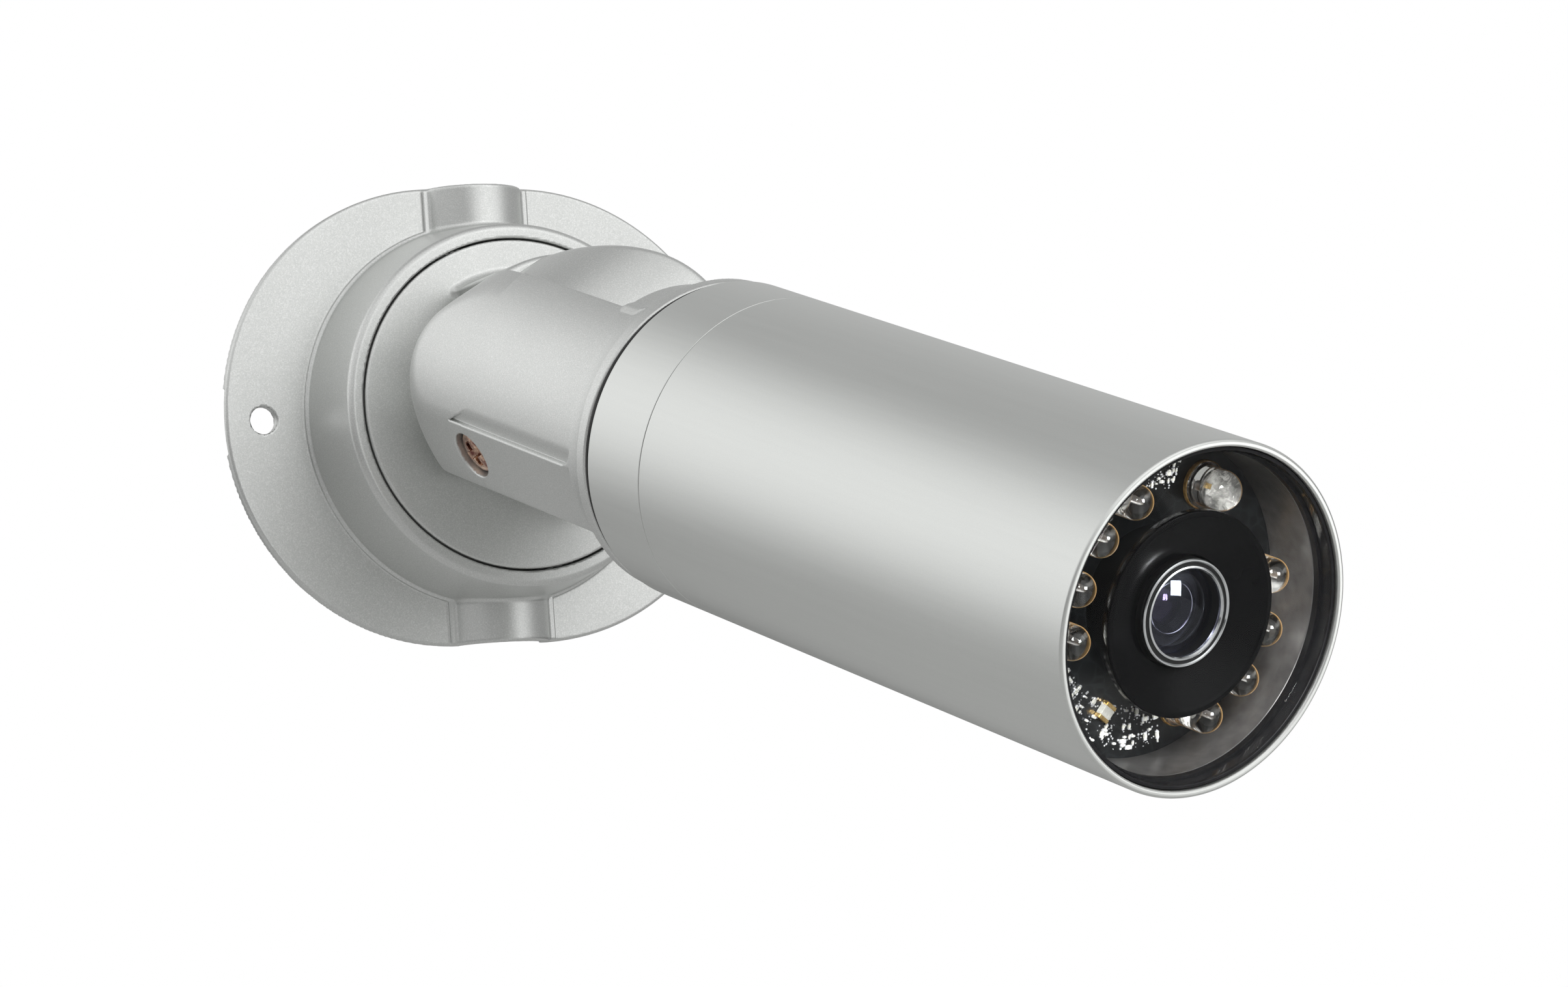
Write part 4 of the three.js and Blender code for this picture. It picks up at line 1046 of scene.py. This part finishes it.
def world_light():
    """A light tent: soft glows on a band that is bright above the horizon and dark below."""
    world = bpy.data.worlds.new("studio")
    bpy.context.scene.world = world
    world.use_nodes = True
    tree = world.node_tree
    background = tree.nodes["Background"]
    coordinates = tree.nodes.new("ShaderNodeTexCoord")
    split = tree.nodes.new("ShaderNodeSeparateXYZ")
    tree.links.new(coordinates.outputs["Generated"], split.inputs["Vector"])
    height = tree.nodes.new("ShaderNodeMapRange")
    height.inputs["From Min"].default_value = -1.0
    height.inputs["From Max"].default_value = 1.0
    tree.links.new(split.outputs["Z"], height.inputs["Value"])
    levels = [(-1.0, 0.02), (-0.6, 0.02), (-0.3, 0.04), (-0.1, 0.10), (0.0, 0.22), (0.1, 0.40),
              (0.35, 0.56), (0.65, 0.52), (1.0, 0.36)]
    tones = [((sine + 1) / 2, (level, level, level)) for sine, level in levels]
    total = ramp(tree, height.outputs["Result"], tones)
    glows = [(25, 12, 42, 0.98), (233, 20, 50, 0.58), (203, -18, 30, 0.06), (0, 55, 40, 0.45),
             (300, 35, 45, 0.30)]
    for azimuth, elevation, reach, level in glows:
        facing = tree.nodes.new("ShaderNodeVectorMath")
        facing.operation = "DOT_PRODUCT"
        facing.inputs[1].default_value = towards(azimuth, elevation)
        tree.links.new(coordinates.outputs["Generated"], facing.inputs[0])
        glow = tree.nodes.new("ShaderNodeMapRange")
        glow.interpolation_type = "SMOOTHSTEP"
        glow.inputs["From Min"].default_value = math.cos(math.radians(reach))
        glow.inputs["From Max"].default_value = math.cos(math.radians(5))
        glow.inputs["To Max"].default_value = level
        tree.links.new(facing.outputs["Value"], glow.inputs["Value"])
        sum_node = tree.nodes.new("ShaderNodeMath")
        tree.links.new(total, sum_node.inputs[0])
        tree.links.new(glow.outputs["Result"], sum_node.inputs[1])
        total = sum_node.outputs["Value"]
    tree.links.new(total, background.inputs["Strength"])
    background.inputs["Color"].default_value = (1.0, 1.0, 1.0, 1.0)
    paper = tree.nodes.new("ShaderNodeBackground")
    paper.inputs["Color"].default_value = (1.0, 1.0, 1.0, 1.0)
    path = tree.nodes.new("ShaderNodeLightPath")
    both = mixed(tree, path.outputs["Is Camera Ray"], background.outputs["Background"],
                 paper.outputs["Background"])
    tree.links.new(both, tree.nodes["World Output"].inputs["Surface"])


def soft_box(name, azimuth, elevation, radiance, size, distance=0.9):
    """A square lamp aimed at the part."""
    data = bpy.data.lights.new(name, "AREA")
    data.shape = "SQUARE"
    data.size = size
    data.energy = radiance * math.pi * size**2
    lamp = bpy.data.objects.new(name, data)
    bpy.context.scene.collection.objects.link(lamp)
    way = towards(azimuth, elevation)
    lamp.location = Vector((0.02, -0.09, -0.02)) + way * distance
    lamp.rotation_mode = "QUATERNION"
    lamp.rotation_quaternion = (-way).to_track_quat("-Z", "Y")
    lamp.visible_camera = False
    return lamp


def shine_on(lamp, *names):
    """Keeps a lamp's light to the pieces whose names start so."""
    lit = bpy.data.collections.new(lamp.name + "_pieces")
    for piece in bpy.context.scene.objects:
        if piece.name.startswith(names):
            lit.objects.link(piece)
    lamp.light_linking.receiver_collection = lit


def make_lights():
    """Lamps for the lip of the tube and for what lies behind the window."""
    shine_on(soft_box("rim_light", 53, -25, 2.4, size=0.4), "housing_tube_turned")
    shine_on(soft_box("window_light", -25, 15, 42.0, size=0.3), "lamp_", "light_", "board_", "window_")
    shine_on(soft_box("lamp_light", 20, 0, 55.0, size=0.25), "lamp_", "board_pa")
    shine_on(soft_box("lens_light", 35, -5, 44.0, size=0.22), "lens_front", "lens_second", "lens_inner",
             "lens_middle", "lens_rear")


def make_floor():
    """A pale floor well below the bracket."""
    mesh = bpy.data.meshes.new("floor")
    half, level = 1.4, -0.42
    corners = [(-half, -half, level), (half, -half, level), (half, half, level), (-half, half, level)]
    mesh.from_pydata(corners, [], [(0, 1, 2, 3)])
    floor = bpy.data.objects.new("floor", mesh)
    bpy.context.scene.collection.objects.link(floor)
    pale = mottled("pale_floor", (0.58, 0.58, 0.575), (0.62, 0.62, 0.615), (0.7, 0.8), grain=20.0)
    mesh.materials.append(pale)
    floor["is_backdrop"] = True


def make_camera():
    """The viewpoint: left of the camera's nose, slightly below it, rolled a little."""
    data = bpy.data.cameras.new("viewpoint")
    data.sensor_width = 36.0
    data.lens = 113.14
    data.clip_start, data.clip_end = 0.02, 50.0
    viewpoint = bpy.data.objects.new("viewpoint", data)
    bpy.context.scene.collection.objects.link(viewpoint)
    azimuth, elevation, roll = (math.radians(a) for a in (24.969, 5.022, -4.088))
    ahead = Vector((math.sin(azimuth) * math.cos(elevation), math.cos(azimuth) * math.cos(elevation),
                    math.sin(elevation)))
    level = Vector((math.cos(azimuth), -math.sin(azimuth), 0))
    upright = level.cross(ahead)
    right = level * math.cos(roll) + upright * math.sin(roll)
    up = right.cross(ahead)
    turn = Matrix((right, up, -ahead)).transposed()
    viewpoint.matrix_world = Matrix.Translation((-0.30022, -0.76112, -0.08812)) @ turn.to_4x4()
    bpy.context.scene.camera = viewpoint


make_camera()
make_castings()
make_screws()
make_housing()
make_lamps()
make_light_board()
make_lens()
dress_cad_nodes()
world_light()
make_lights()
make_floor()
bpy.context.scene.view_settings.view_transform = "Standard"

new_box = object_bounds()
str([[list(corner) for corner in box] for box in (cad_box, new_box)])
